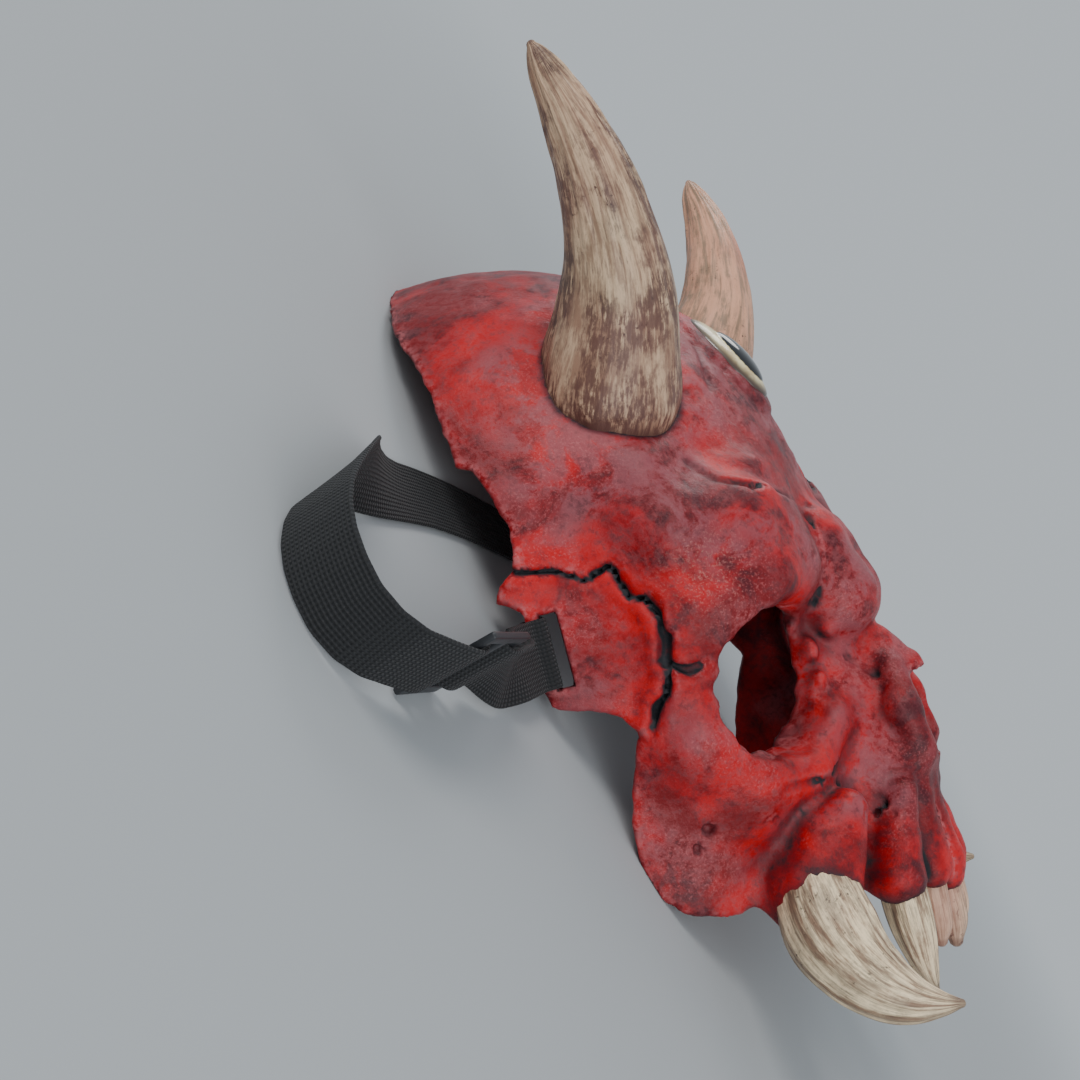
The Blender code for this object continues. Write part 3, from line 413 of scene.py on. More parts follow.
def carved_form(x, f, u):
    """The mask with its cast surface: lumps, jagged edges, cracks, furrows, pits and knobs."""
    face = face_form(x, f, u)
    side = (np.abs(x), f, u)
    points = np.stack([x, f, u], axis=-1).reshape(-1, 3)
    shape = np.shape(x)
    outer = face
    for place, radius in KNOBS:
        outer = smooth_min(outer, ellipsoid(side, place, (radius, radius, radius)), 2.5)
    lumps = (0.5 * rough(points, 13.0, 3, 2) + 0.26 * rough(points, 4.5, 9, 2)).reshape(shape)
    jagged = noise(points, 3.2, 31).reshape(shape)
    wander = noise(points, 3.0, 77).reshape(shape)
    seam = suture_distance(f, u, points)
    lip = 0.7 * np.exp(-((seam - 2.6) / 1.6) ** 2) * (np.abs(x) > 50)
    shell = smooth_max(outer - lumps - lip, -(face + WALL), 1.0)
    shell = smooth_max(shell, outline_distance(f, u, RIM) + 0.5 * jagged, 1.5)
    shell = smooth_min(shell, gum_form(x, f, u) - lumps, 5.5)
    shell = smooth_max(shell, -socket_form(x, f, u) + 1.1 * jagged, 2.2)
    shell = smooth_max(shell, -ellipsoid((x, f, u), NOSE_CENTRE, NOSE_RADII) + 0.7 * jagged, 1.2)
    wide = 0.4 + 0.5 * np.clip((f - 42.0) / 8.0, 0.0, 1.0)
    deep = SUTURE_DEPTH - 1.7 * np.clip((f - 49.0) / 9.0, 0.0, 1.0)
    crack = np.maximum(seam + 0.35 * wander - wide, -(face + deep))
    crack = np.maximum(np.maximum(crack, 40.0 - np.abs(x)), f - CRACK_END)
    shell = smooth_max(shell, -crack, 0.8)
    for line, half, depth in FURROWS:
        furrow = chain(side, [(p, half) for p in line], 0.6)
        shell = smooth_max(shell, -np.maximum(furrow + 0.3 * wander, -(face + depth)), 1.2)
    for place, radius in PITS:
        shell = smooth_max(shell, -ellipsoid(side, place, (radius, radius, radius)), 0.4)
    return smooth_max(shell, -slot_form(x, f, u), 0.8)


# The lying place


def rest_normal():
    run = (CHEEK_REST[0] - CROWN_REST[0], CHEEK_REST[1] - CROWN_REST[1])
    length = math.hypot(*run)
    return -run[1] / length, run[0] / length


def lay(points):
    points = np.asarray(points, float)
    nf, nu = rest_normal()
    f, u = points[..., 1] - CROWN_REST[0], points[..., 2] - CROWN_REST[1]
    return np.stack([points[..., 0], nf * u - nu * f, nf * f + nu * u], axis=-1)


def unlay(points):
    nf, nu = rest_normal()
    x, y, z = np.moveaxis(np.asarray(points, float), -1, 0)
    return x, CROWN_REST[0] - nu * y + nf * z, CROWN_REST[1] + nf * y + nu * z


# The strap's way through its slots and over the ground


def outer_x(back):
    """How far out the mask's surface is at a distance behind the slot's middle."""
    lean = math.radians(SLOT_LEAN)
    xs = np.linspace(50.0, 95.0, 451)
    f = np.full_like(xs, SLOT_CENTRE[0] - back * math.cos(lean))
    u = np.full_like(xs, SLOT_CENTRE[1] - back * math.sin(lean))
    return float(xs[face_form(xs, f, u) < 0].max())


def bar_frame(side):
    """A slot's bar: middle, directions along it, back across it and out of it, slope, thickness."""
    lean = math.radians(SLOT_LEAN)
    origin = lay((0.0, 0.0, 0.0))
    along = lay((0.0, -math.sin(lean), math.cos(lean))) - origin
    back = lay((0.0, -math.cos(lean), -math.sin(lean))) - origin
    reach = 0.5 * (SLOT_WIDTH + BAR_WIDTH)
    spread = 0.5 * BAR_WIDTH
    slope = (outer_x(reach + spread) - outer_x(reach - spread)) / (2.0 * spread)
    angle = math.atan(slope)
    out = side * math.cos(angle) * np.array([1.0, 0.0, 0.0]) - math.sin(angle) * back
    back = math.cos(angle) * back + side * math.sin(angle) * np.array([1.0, 0.0, 0.0])
    f = SLOT_CENTRE[0] - reach * math.cos(lean)
    u = SLOT_CENTRE[1] - reach * math.sin(lean)
    middle = lay((side * outer_x(reach), f, u))
    depths = np.linspace(-9.0, 3.0, 241)
    filled = []
    for a in (-0.5, -0.25, 0.0, 0.25, 0.5):
        for b in (-0.5, 0.0, 0.5):
            spot = middle + along * (a * STRAP_WIDTH) + back * (b * BAR_WIDTH)
            filled.append(depths[mask_form(*unlay(spot + depths[:, None] * out)) < 0])
    filled = np.concatenate(filled)
    middle = middle + out * 0.5 * (filled.max() + filled.min())
    return middle, along, back, out, angle, filled.max() - filled.min()


def loop_section(lean, thickness, early=0.0):
    """The strap's middle line round a slot's bar, as (out, back) from the bar's middle.

    The two free layers leave turned by the lean towards the back, sooner by the early amount.
    """
    half = 0.5 * STRAP_THICKNESS
    out = 0.5 * thickness + STRAP_CLEARANCE + half
    back = 0.5 * BAR_WIDTH + STRAP_CLEARANCE + half
    layer = STRAP_THICKNESS + GAP
    bend = 1.3
    leave = (math.cos(lean), math.sin(lean))
    path = []

    def corner(centre, start, end, steps=4):
        for i in range(steps + 1):
            turn = math.radians(start + (end - start) * i / steps)
            path.append((centre[0] + bend * math.cos(turn), centre[1] + bend * math.sin(turn)))

    rise = early * math.tan(-lean)
    corner((out + bend, back - layer - bend - rise), 90 + math.degrees(lean), 180)
    first = path[0]
    for reach in (6.0, 12.0):
        path.insert(0, (first[0] + reach * leave[0], first[1] + reach * leave[1]))
    corner((out - bend, -back + bend), 0, -90)
    corner((-out + bend, -back + bend), -90, -180)
    corner((-out + bend, back - bend), 180, 90)
    for reach in (0.0, 5.0, 10.0):
        path.append((first[0] - early + reach * leave[0], back + reach * leave[1]))
    return path


def slider_height():
    return STRAP_WIDTH + 2.0 * (SLIDER_CLEARANCE + SLIDER_RAIL)


def strap_wave(distance):
    """How far the strap steps aside where it weaves through the slider."""
    step = 0.5 * (SLIDER_THICKNESS + STRAP_THICKNESS) + GAP
    away, end = SLIDER_PITCH - 1.6, SLIDER_PITCH + 2.2
    places = [-end - 7.0, -end, -away, -1.6, 1.6, away, end, end + 7.0]
    shifts = [0.0, -step, -step, step, step, -step, -step, 0.0]
    return places, float(np.interp(distance, places, shifts))


def free_run():
    """The strap's run on the ground: places, headings, turns and distances from the slider."""
    near = bar_frame(-1)[0]
    knots = [(x, near[1] + y, 0.0, turn) for (x, y), turn in STRAP_ROUTE]
    fine = smooth_line(knots, 400)
    run = np.concatenate([[0.0], np.cumsum(np.linalg.norm(np.diff(fine[:, :3], axis=0), axis=1))])
    slider = np.array(knots[SLIDER_STATION][:2])
    middle = run[np.argmin(np.linalg.norm(fine[:, :2] - slider, axis=1))]
    weave = [middle + place for place in strap_wave(0.0)[0]]
    before = np.linspace(3.0, weave[0], 8)[:-1]
    after = np.linspace(weave[-1], run[-1] - 3.0, 42)[1:]
    stations = np.concatenate([before, weave, after])
    heading = np.gradient(fine[:, :3], axis=0)
    heading /= np.linalg.norm(heading, axis=1, keepdims=True)
    rows = []
    for station in stations:
        place = np.array([np.interp(station, run, fine[:, i]) for i in range(2)])
        ahead = np.array([np.interp(station, run, heading[:, i]) for i in range(3)])
        turn = math.radians(np.interp(station, run, fine[:, 3]))
        rows.append((place, ahead / np.linalg.norm(ahead), turn, station, station - middle))
    return rows, run[-1]


def strap_sections():
    """Middle points and width directions along the whole strap, end to end."""
    near, along, back, out, angle, thickness = bar_frame(-1)
    sections = []
    for side, down in reversed(loop_section(angle, thickness)):
        sections.append((near + out * side + back * down, along))
    far, far_along, far_back, far_out, far_angle, thickness = bar_frame(1)
    far_loop = loop_section(-far_angle, thickness, FAR_TAIL_EARLY)
    far_loop = [far - far_out * side + far_back * down for side, down in far_loop]
    up = np.array([0.0, 0.0, 1.0])
    rows, length = free_run()
    start_height, end_height = sections[-1][0][2], far_loop[0][2]
    half_width, half_thick = 0.5 * STRAP_WIDTH, 0.5 * STRAP_THICKNESS
    landing = 26.0
    held_reach, held_fade = 34.0, 22.0
    for place, ahead, turn, station, distance in rows:
        width = math.cos(turn) * np.cross(ahead, up) + math.sin(turn) * up
        rest = half_width * abs(math.sin(turn)) + half_thick * abs(math.cos(turn)) + GAP
        held = np.clip((held_reach - abs(distance)) / held_fade, 0.0, 1.0)
        rest += held * (0.5 * slider_height() - half_width)
        from_near = np.clip(station / landing, 0.0, 1.0)
        from_far = np.clip((length - station) / landing, 0.0, 1.0)
        lift = max(rest, start_height + (rest - start_height) * from_near)
        lift = max(lift, end_height + (rest - end_height) * from_far)
        shift = np.cross(ahead, width) * strap_wave(distance)[1]
        sections.append((np.array([place[0], place[1], lift]) + shift, width))
    for spot in far_loop:
        sections.append((spot, far_along))
    return sections


def slider_mesh():
    """A flat plate with two windows, standing on edge with the strap."""
    row = min(free_run()[0], key=lambda r: abs(r[4] - 1.6))
    place, ahead = row[0], row[1]
    up = np.array([0.0, 0.0, 1.0])
    aside = np.cross(ahead, up)
    middle = np.array([*place, 0.5 * slider_height() + GAP]) - ahead * row[4]
    bar = 0.5 * SLIDER_BAR
    runs = [-SLIDER_PITCH - bar, -SLIDER_PITCH + bar, -bar, bar, SLIDER_PITCH - bar, SLIDER_PITCH + bar]
    high = 0.5 * slider_height()
    rises = [-high, -high + SLIDER_RAIL, high - SLIDER_RAIL, high]
    points, faces = [], []
    for side in (-0.5, 0.5):
        for rise in rises:
            for run in runs:
                points.append(middle + ahead * run + up * rise + aside * (side * SLIDER_THICKNESS))
    columns, level = len(runs), len(runs) * len(rises)

    def filled(i, j):
        inside = 0 <= i < columns - 1 and 0 <= j < len(rises) - 1
        return inside and (i, j) not in ((1, 1), (3, 1))

    for i in range(columns - 1):
        for j in range(len(rises) - 1):
            if not filled(i, j):
                continue
            ring = [j * columns + i, j * columns + i + 1, (j + 1) * columns + i + 1, (j + 1) * columns + i]
            faces.append(tuple(ring[::-1]))
            faces.append(tuple(r + level for r in ring))
            for k, (a, b) in enumerate(((i, j - 1), (i + 1, j), (i, j + 1), (i - 1, j))):
                if not filled(a, b):
                    p, q = ring[k], ring[(k + 1) % 4]
                    faces.append((p, q, q + level, p + level))
    return points, faces


SLOT_FRAMES = [bar_frame(side)[:4] for side in (-1, 1)]


# Meshes


def net(form, low, high, step):
    """Smooth quad mesh of a form's zero level: one point to a crossed cell of a grid."""
    counts = [int(round((b - a) / step)) + 1 for a, b in zip(low, high)]
    coarse = 4
    axes = [a + step * np.arange(n) for a, n in zip(low, counts)]
    thin = [axis[::coarse] for axis in axes]
    rough_values = form(*np.meshgrid(*thin, indexing="ij"))
    picks = []
    for n, t in zip(counts, thin):
        picks.append(np.clip((np.arange(n) + coarse // 2) // coarse, 0, len(t) - 1))
    values = rough_values[np.ix_(*picks)]
    near = np.abs(values) < 2.2 * coarse * step
    where = np.argwhere(near)
    parts = []
    for chunk in np.array_split(where, max(1, len(where) // 400000)):
        parts.append(form(*[axis[chunk[:, i]] for i, axis in enumerate(axes)]))
    values[near] = np.concatenate(parts)
    inside = values < 0
    cells = [n - 1 for n in counts]
    total = np.zeros(cells, np.int8)
    for d in np.ndindex(2, 2, 2):
        total += inside[d[0]:cells[0] + d[0], d[1]:cells[1] + d[1], d[2]:cells[2] + d[2]]
    crossed = np.argwhere((total > 0) & (total < 8))
    number = np.full(cells, -1, np.int64)
    number[tuple(crossed.T)] = np.arange(len(crossed))
    spots = np.zeros((len(crossed), 3))
    hits = np.zeros(len(crossed))
    quads = []
    for axis in range(3):
        unit = np.eye(3, dtype=int)[axis]
        others = [a for a in range(3) if a != axis]
        for i in (0, 1):
            for j in (0, 1):
                start = crossed.copy()
                start[:, others[0]] += i
                start[:, others[1]] += j
                a = values[tuple(start.T)]
                b = values[tuple((start + unit).T)]
                cut = (a < 0) != (b < 0)
                share = a[cut] / (a[cut] - b[cut])
                spots[cut] += start[cut] + share[:, None] * unit
                hits[cut] += 1
        ahead = [slice(0, n) for n in counts]
        behind = [slice(0, n) for n in counts]
        ahead[axis], behind[axis] = slice(1, None), slice(0, -1)
        first, second = inside[tuple(behind)], inside[tuple(ahead)]
        edge = np.argwhere(first != second)
        keep = np.all([(edge[:, o] > 0) & (edge[:, o] < cells[o]) for o in others], axis=0)
        edge = edge[keep]
        outward = first[tuple(edge.T)]
        ring = []
        for i, j in ((-1, -1), (0, -1), (0, 0), (-1, 0)):
            spot = edge.copy()
            spot[:, others[0]] += i
            spot[:, others[1]] += j
            ring.append(number[tuple(spot.T)])
        ring = np.stack(ring, axis=1)
        turned = outward if axis != 1 else ~outward
        ring[~turned] = ring[~turned][:, ::-1]
        quads.append(ring)
    points = spots / hits[:, None] * step + np.asarray(low)
    quads = np.concatenate(quads)
    return points, quads[(quads >= 0).all(axis=1)]


def slope_at(form, points, reach=0.3):
    there = form(*points.T)
    slope = np.stack([form(*(points + reach * e).T) - there for e in np.eye(3)], axis=1) / reach
    return there, slope


def settle(form, points, step, rounds=2):
    """Draws the points onto the form's surface."""
    for _ in range(rounds):
        there, slope = slope_at(form, points)
        move = there[:, None] * slope / np.maximum((slope ** 2).sum(1), 0.3)[:, None]
        reach = np.linalg.norm(move, axis=1, keepdims=True)
        points = points - move * np.minimum(1.0, 0.4 * step / np.maximum(reach, 1e-9))
    return points


def linked(name, data):
    obj = bpy.data.objects.new(name, data)
    bpy.context.scene.collection.objects.link(obj)
    return obj


def stand(obj, axes, place):
    """Puts an object at a place in metres, turned to the given axes."""
    world = Matrix.Identity(4)
    for i, axis in enumerate((*axes, place)):
        for j in range(3):
            world[j][i] = axis[j]
    obj.matrix_world = world


def add_piece(name, points, faces, paint, node, laid=False):
    """One piece from points in millimetres, laid down here unless they are already."""
    mesh = bpy.data.meshes.new(name)
    spots = (np.asarray(points, float) if laid else lay(points)) * MM
    if isinstance(faces, np.ndarray):
        mesh.vertices.add(len(spots))
        mesh.vertices.foreach_set("co", spots.ravel())
        mesh.loops.add(faces.size)
        mesh.loops.foreach_set("vertex_index", faces.ravel().astype(np.int32))
        mesh.polygons.add(len(faces))
        mesh.polygons.foreach_set("loop_start", np.arange(0, faces.size, 4, dtype=np.int32))
        mesh.polygons.foreach_set("loop_total", np.full(len(faces), 4, np.int32))
        mesh.update(calc_edges=True)
    else:
        mesh.from_pydata(spots.tolist(), [], [tuple(int(i) for i in f) for f in faces])
        mesh.update()
    mesh.validate()
    obj = linked(name, mesh)
    mesh.materials.append(paint)
    mesh.shade_smooth()
    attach(obj, "root")
    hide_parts(node)
    return obj


def store(obj, name, values):
    kind = "FLOAT" if np.ndim(values) == 1 else "FLOAT_VECTOR"
    attribute = obj.data.attributes.new(name, kind, "POINT")
    key = "value" if kind == "FLOAT" else "vector"
    attribute.data.foreach_set(key, np.asarray(values, np.float32).ravel())


def smooth_line(knots, count):
    knots = np.asarray(knots, float)
    ends = [2 * knots[0] - knots[1]], [2 * knots[-1] - knots[-2]]
    row = np.concatenate([ends[0], knots, ends[1]])
    fine = []
    for i in range(1, len(row) - 2):
        a, b, c, d = row[i - 1], row[i], row[i + 1], row[i + 2]
        t = np.linspace(0.0, 1.0, 16, endpoint=False)[:, None]
        cubic = (3 * b - a - 3 * c + d) * t ** 3 + (2 * a - 5 * b + 4 * c - d) * t ** 2
        fine.append(0.5 * (cubic + (c - a) * t) + b)
    fine = np.concatenate(fine + [knots[-1:]])
    run = np.concatenate([[0.0], np.cumsum(np.linalg.norm(np.diff(fine[:, :3], axis=0), axis=1))])
    want = np.linspace(0.0, run[-1], count)
    return np.stack([np.interp(want, run, fine[:, i]) for i in range(fine.shape[1])], axis=1)


def frames_along(line):
    tangents = np.gradient(line, axis=0)
    tangents /= np.linalg.norm(tangents, axis=1, keepdims=True)
    across = np.cross(tangents[0], (0.0, 1.0, 0.3))
    across /= np.linalg.norm(across)
    pairs = []
    for tangent in tangents:
        across = across - tangent * (across @ tangent)
        across /= np.linalg.norm(across)
        pairs.append((across, np.cross(tangent, across)))
    return pairs


def ringed(rows, sides):
    """Faces of a tube of rings, with a fan on one last and one first middle point."""
    index = np.arange(rows * sides).reshape(rows, sides)
    after = np.roll(index, -1, axis=1)
    quads = np.stack([index[:-1], after[:-1], after[1:], index[1:]], axis=-1).reshape(-1, 4)
    last = (rows - 1) * sides
    faces = quads.tolist()
    faces += [(last + k, last + (k + 1) % sides, rows * sides) for k in range(sides)]
    faces += [((k + 1) % sides, k, rows * sides + 1) for k in range(sides)]
    return faces


def grown_rod(name, knots, side, sides, rows, paint, groove, seat=None):
    """Horn or tooth with lengthwise grooves; with a seat, its base follows the skull that deep."""
    samples = 260
    line = smooth_line([(side * k[0],) + tuple(k[1:]) for k in knots], samples)
    middle, radii = line[:, :3], line[:, 3]
    frames = frames_along(middle)
    first = np.array([pair[0] for pair in frames])
    second = np.array([pair[1] for pair in frames])
    run = np.concatenate([[0.0], np.cumsum(np.linalg.norm(np.diff(middle, axis=0), axis=1))])
    turns = 2 * math.pi * np.arange(sides) / sides
    c, s = np.cos(turns), np.sin(turns)

    def leaving(share):
        places = []
        for cj, sj in zip(c, s):
            spots = middle + (radii * share)[:, None] * (cj * first + sj * second)
            level = face_form(*spots.T) + seat
            last = min(np.nonzero(level < 0)[0].max(), samples - 2)
            places.append(last + level[last] / (level[last] - level[last + 1]))
        return np.array(places)

    def ring(places, share):
        low = np.minimum(places.astype(int), samples - 2)
        part = (places - low)[:, None]
        centre = middle[low] * (1 - part) + middle[low + 1] * part
        a = first[low] * (1 - part) + first[low + 1] * part
        b = second[low] * (1 - part) + second[low + 1] * part
        radius = radii[low] * (1 - part[:, 0]) + radii[low + 1] * part[:, 0]
        along = run[low] * (1 - part[:, 0]) + run[low + 1] * part[:, 0]
        grain = np.column_stack([GRAIN_TURN * c, GRAIN_TURN * s, GRAIN_PITCH * along])
        lift = groove * rough(grain * 1.1, 1.0, 5 + side, 3, 0.6)
        lift += 0.35 * groove * rough(np.column_stack([5.0 * c, 5.0 * s, 0.22 * along]), 4.0, 11, 2)
        lift = (lift - 0.2 * groove) * np.clip(radius / 4.0, 0.1, 1.0)
        wide = (radius + lift) * share
        spots = centre + (wide * c)[:, None] * a + (wide * s)[:, None] * b
        return spots, grain, along

    starts = leaving(1.0) if seat is not None else np.zeros(sides)
    points, grains, runs = [], [], []
    if seat is not None:
        for share in (0.3, 0.6, 0.85):
            spots, grain, _ = ring(leaving(share), share)
            points.append(spots)
            grains.append(grain)
            runs.append(np.zeros(sides))
    for i in range(rows):
        share = i / (rows - 1)
        spots, grain, along = ring(starts + (samples - 1.001 - starts) * share, 1.0)
        points.append(spots)
        grains.append(grain)
        runs.append(along - run[starts.astype(int)])
    ahead = middle[-1] - middle[-2]
    ahead /= np.linalg.norm(ahead)
    for lift in (30.0, 60.0):
        turn = math.radians(lift)
        cap, grain, along = ring(np.full(sides, samples - 1.001), math.cos(turn))
        points.append(cap + ahead * radii[-1] * math.sin(turn))
        grains.append(grain)
        runs.append(along)
    root = np.full(sides, float(starts.mean())) if seat is None else leaving(0.02)
    base = ring(root, 0.0)[0].mean(axis=0)
    points = np.concatenate(points + [[middle[-1] + ahead * radii[-1]], [base]])
    grains = np.concatenate(grains + [[[0.0, 0.0, GRAIN_PITCH * run[-1]]], [[0.0, 0.0, 0.0]]])
    runs = np.concatenate(runs + [[run[-1]], [0.0]])
    ring_count = (len(points) - 2) // sides
    faces = ringed(ring_count, sides)
    obj = add_piece(name, points, faces, paint, name.replace("_grown", ""))
    store(obj, "grain", grains)
    store(obj, "run", runs)
    store(obj, "share", runs / run[-1])
    return obj


# Materials


class Nodes:
    """Short way to write a material's nodes."""

    def __init__(self, name):
        self.material = bpy.data.materials.new(name)
        self.material.use_nodes = True
        self.tree = self.material.node_tree
        self.shader = self.tree.nodes["Principled BSDF"]

    def node(self, kind, settings=None, **inputs):
        made = self.tree.nodes.new(kind)
        for key, value in (settings or {}).items():
            setattr(made, key, value)
        for key, value in inputs.items():
            self.set(made.inputs[int(key[1:])] if key[0] == "_" else made.inputs[key], value)
        return made

    def set(self, socket, value):
        if isinstance(value, bpy.types.NodeSocket):
            self.tree.links.new(value, socket)
        elif isinstance(value, tuple) and len(value) == 3 and socket.type == "RGBA":
            socket.default_value = (*value, 1.0)
        else:
            socket.default_value = value

    def shade(self, name, value):
        self.set(self.shader.inputs[name], value)

    def attribute(self, name, output="Fac"):
        return self.node("ShaderNodeAttribute", {"attribute_name": name}).outputs[output]

    def place(self):
        return self.node("ShaderNodeTexCoord").outputs["Object"]

    def noise(self, where, scale, detail=4.0, roughness=0.55, distortion=0.0):
        made = self.node("ShaderNodeTexNoise", Scale=scale, Detail=detail, Roughness=roughness)
        self.set(made.inputs["Distortion"], distortion)
        self.set(made.inputs["Vector"], where)
        return made.outputs["Fac"]

    def ramp(self, value, low, high, smooth=True):
        made = self.node("ShaderNodeMapRange", {"interpolation_type": "SMOOTHSTEP" if smooth else "LINEAR"})
        self.set(made.inputs["Value"], value)
        self.set(made.inputs["From Min"], low)
        self.set(made.inputs["From Max"], high)
        return made.outputs["Result"]

    def math(self, operation, a, b=0.0, clamp=False):
        settings = {"operation": operation, "use_clamp": clamp}
        return self.node("ShaderNodeMath", settings, _0=a, _1=b).outputs[0]

    def times(self, a, b):
        return self.math("MULTIPLY", a, b)

    def plus(self, a, b):
        return self.math("ADD", a, b)

    def mix(self, share, a, b):
        made = self.node("ShaderNodeMix", {"data_type": "RGBA"})
        self.set(made.inputs[0], share)
        self.set(made.inputs[6], a)
        self.set(made.inputs[7], b)
        return made.outputs[2]

    def bump(self, height, strength, distance):
        made = self.node("ShaderNodeBump", Strength=strength, Distance=distance)
        self.set(made.inputs["Height"], height)
        return made.outputs["Normal"]


def red_paint():
    """Worn red over maroon, with dusty rose where it is rubbed; its hollows are darkened, partly by dark
    paint settled there, partly by painted shade.
    """
    n = Nodes("red paint")
    where = n.place()
    big = n.noise(where, 30.0, 5.0, 0.62, 0.5)
    middle = n.noise(where, 85.0, 6.0, 0.68, 0.4)
    fine = n.noise(where, 420.0, 5.0, 0.72)
    speck = n.noise(where, 1500.0, 4.0, 0.70)
    deep, bright, maroon = (0.18, 0.003, 0.006), (0.50, 0.004, 0.007), (0.045, 0.008, 0.014)
    rosy, dusty, black_paint_and_shade = (0.62, 0.16, 0.17), (0.26, 0.075, 0.090), (0.022, 0.023, 0.028)
    colour = n.mix(n.ramp(big, 0.40, 0.60), deep, bright)
    veil = n.times(n.ramp(middle, 0.56, 0.44), n.ramp(n.noise(where, 24.0, 3.0), 0.44, 0.58))
    colour = n.mix(n.times(veil, 0.75), colour, dusty)
    patches = n.times(n.ramp(middle, 0.48, 0.62), n.ramp(big, 0.62, 0.44))
    mottle = n.times(n.ramp(fine, 0.48, 0.66), 0.5)
    colour = n.mix(n.math("MAXIMUM", n.times(patches, 0.8), mottle), colour, maroon)
    glints = n.times(n.ramp(speck, 0.50, 0.66), n.attribute("open"))
    brushed = n.plus(n.times(n.ramp(n.noise(where, 46.0, 3.0), 0.50, 0.64), 0.26), 0.07)
    colour = n.mix(n.times(glints, brushed), colour, rosy)
    rub = n.times(n.attribute("edge"), n.ramp(fine, 0.40, 0.60))
    colour = n.mix(n.times(rub, 0.85), colour, rosy)
    stain = n.times(n.attribute("stain"), n.ramp(speck, 0.52, 0.66))
    colour = n.mix(n.times(stain, 0.35), colour, (0.44, 0.27, 0.19))
    # Painted shade: darker in the hollows, creases, cracks and round the ivory, partly dark paint settled
    # there, partly shade painted into the colour.
    dark_paint_and_shade = n.attribute("hollow_paint_and_shade")
    dark_paint_and_shade = n.plus(dark_paint_and_shade, n.times(n.math("SUBTRACT", fine, 0.5), 0.8))
    colour = n.mix(n.ramp(dark_paint_and_shade, 0.12, 0.60), colour, n.mix(0.45, maroon, colour))
    colour = n.mix(n.ramp(dark_paint_and_shade, 0.52, 1.15), colour, black_paint_and_shade)
    n.shade("Base Color", colour)
    grit = n.plus(n.times(fine, 0.30), 0.27)
    n.shade("Roughness", n.plus(grit, n.times(n.ramp(dark_paint_and_shade, 0.3, 1.0), 0.20)))
    n.shade("Specular IOR Level", 0.26)
    height = n.plus(n.times(fine, 0.7), n.times(speck, 0.3))
    n.shade("Normal", n.bump(height, 0.5, 0.0007))
    return n.material


def ivory(name, tint, dark, light, rose=(0.46, 0.17, 0.12)):
    """Aged ivory with lengthwise streaks; tint is its share of rose and dark its share of brown."""
    n = Nodes(name)
    where = n.place()
    grain = n.attribute("grain", "Vector")
    run, share = n.attribute("run"), n.attribute("share")
    band = n.noise(grain, 0.42, 3.0, 0.55, 0.4)
    streak = n.noise(grain, 1.3, 5.0, 0.66, 0.3)
    thin = n.noise(grain, 5.0, 5.0, 0.7)
    blotch = n.noise(where, 60.0, 5.0, 0.65)
    brush = n.noise(where, 260.0, 4.0, 0.65)
    speck = n.noise(where, 700.0, 3.0, 0.65)
    tan, brown, black = (0.30, 0.19, 0.12), (0.066, 0.038, 0.032), (0.014, 0.011, 0.012)
    grained = n.plus(streak, n.times(brush, 0.3))
    colour = n.mix(n.ramp(grained, 0.52, 0.74), tan, light)
    worn = n.plus(n.times(thin, 0.6), n.times(brush, 0.4))
    colour = n.mix(n.times(n.ramp(worn, 0.49, 0.62), 0.7 * dark), colour, brown)
    zones = n.times(n.ramp(n.plus(band, blotch), 0.90, 1.08), n.ramp(worn, 0.40, 0.52))
    colour = n.mix(n.times(zones, dark), colour, brown)
    flecks = n.plus(n.ramp(blotch, 0.48, 0.64), 0.08)
    colour = n.mix(n.times(n.ramp(speck, 0.57, 0.70), flecks), colour, black)
    root = n.times(n.ramp(run, 20.0, 2.0), n.ramp(thin, 0.44, 0.62))
    colour = n.mix(n.times(root, dark), colour, black)
    # Black band at the base, where the horn or tooth meets the skull: partly a dark join, partly painted
    # shade.
    seam = n.times(n.math("SUBTRACT", blotch, 0.5), 1.6)
    seam = n.math("ADD", n.ramp(run, 6.0, 1.0), seam, True)
    colour = n.mix(n.times(seam, n.ramp(run, 10.0, 3.0)), colour, black)
    colour = n.mix(n.times(n.ramp(share, 0.93, 1.0), 0.55), colour, brown)
    blush = n.ramp(n.noise(where, 22.0, 2.0), 0.40, 0.62)
    colour = n.mix(n.times(blush, tint), colour, rose)
    n.shade("Base Color", colour)
    n.shade("Roughness", n.plus(n.times(thin, 0.3), 0.26))
    n.shade("Specular IOR Level", 0.38)
    height = n.plus(n.times(thin, 0.7), n.times(speck, 0.3))
    n.shade("Normal", n.bump(height, 0.35, 0.0006))
    return n.material


def eye_paint():
    n = Nodes("eye paint")
    where = n.place()
    pupil = n.attribute("pupil")
    vein = n.noise(where, 260.0, 4.0, 0.6, 0.6)
    cream = n.mix(n.ramp(vein, 0.42, 0.62), (0.86, 0.74, 0.40), (0.62, 0.47, 0.22))
    cream = n.mix(n.ramp(n.attribute("rim"), 0.72, 1.0), cream, (0.06, 0.035, 0.025))
    colour = n.mix(n.ramp(pupil, 0.42, 0.58), cream, (0.006, 0.007, 0.010))
    n.shade("Base Color", colour)
    n.shade("Roughness", n.plus(n.times(n.ramp(pupil, 0.42, 0.58), -0.28), 0.36))
    n.shade("Coat Weight", 0.6)
    n.shade("Coat Roughness", 0.06)
    return n.material


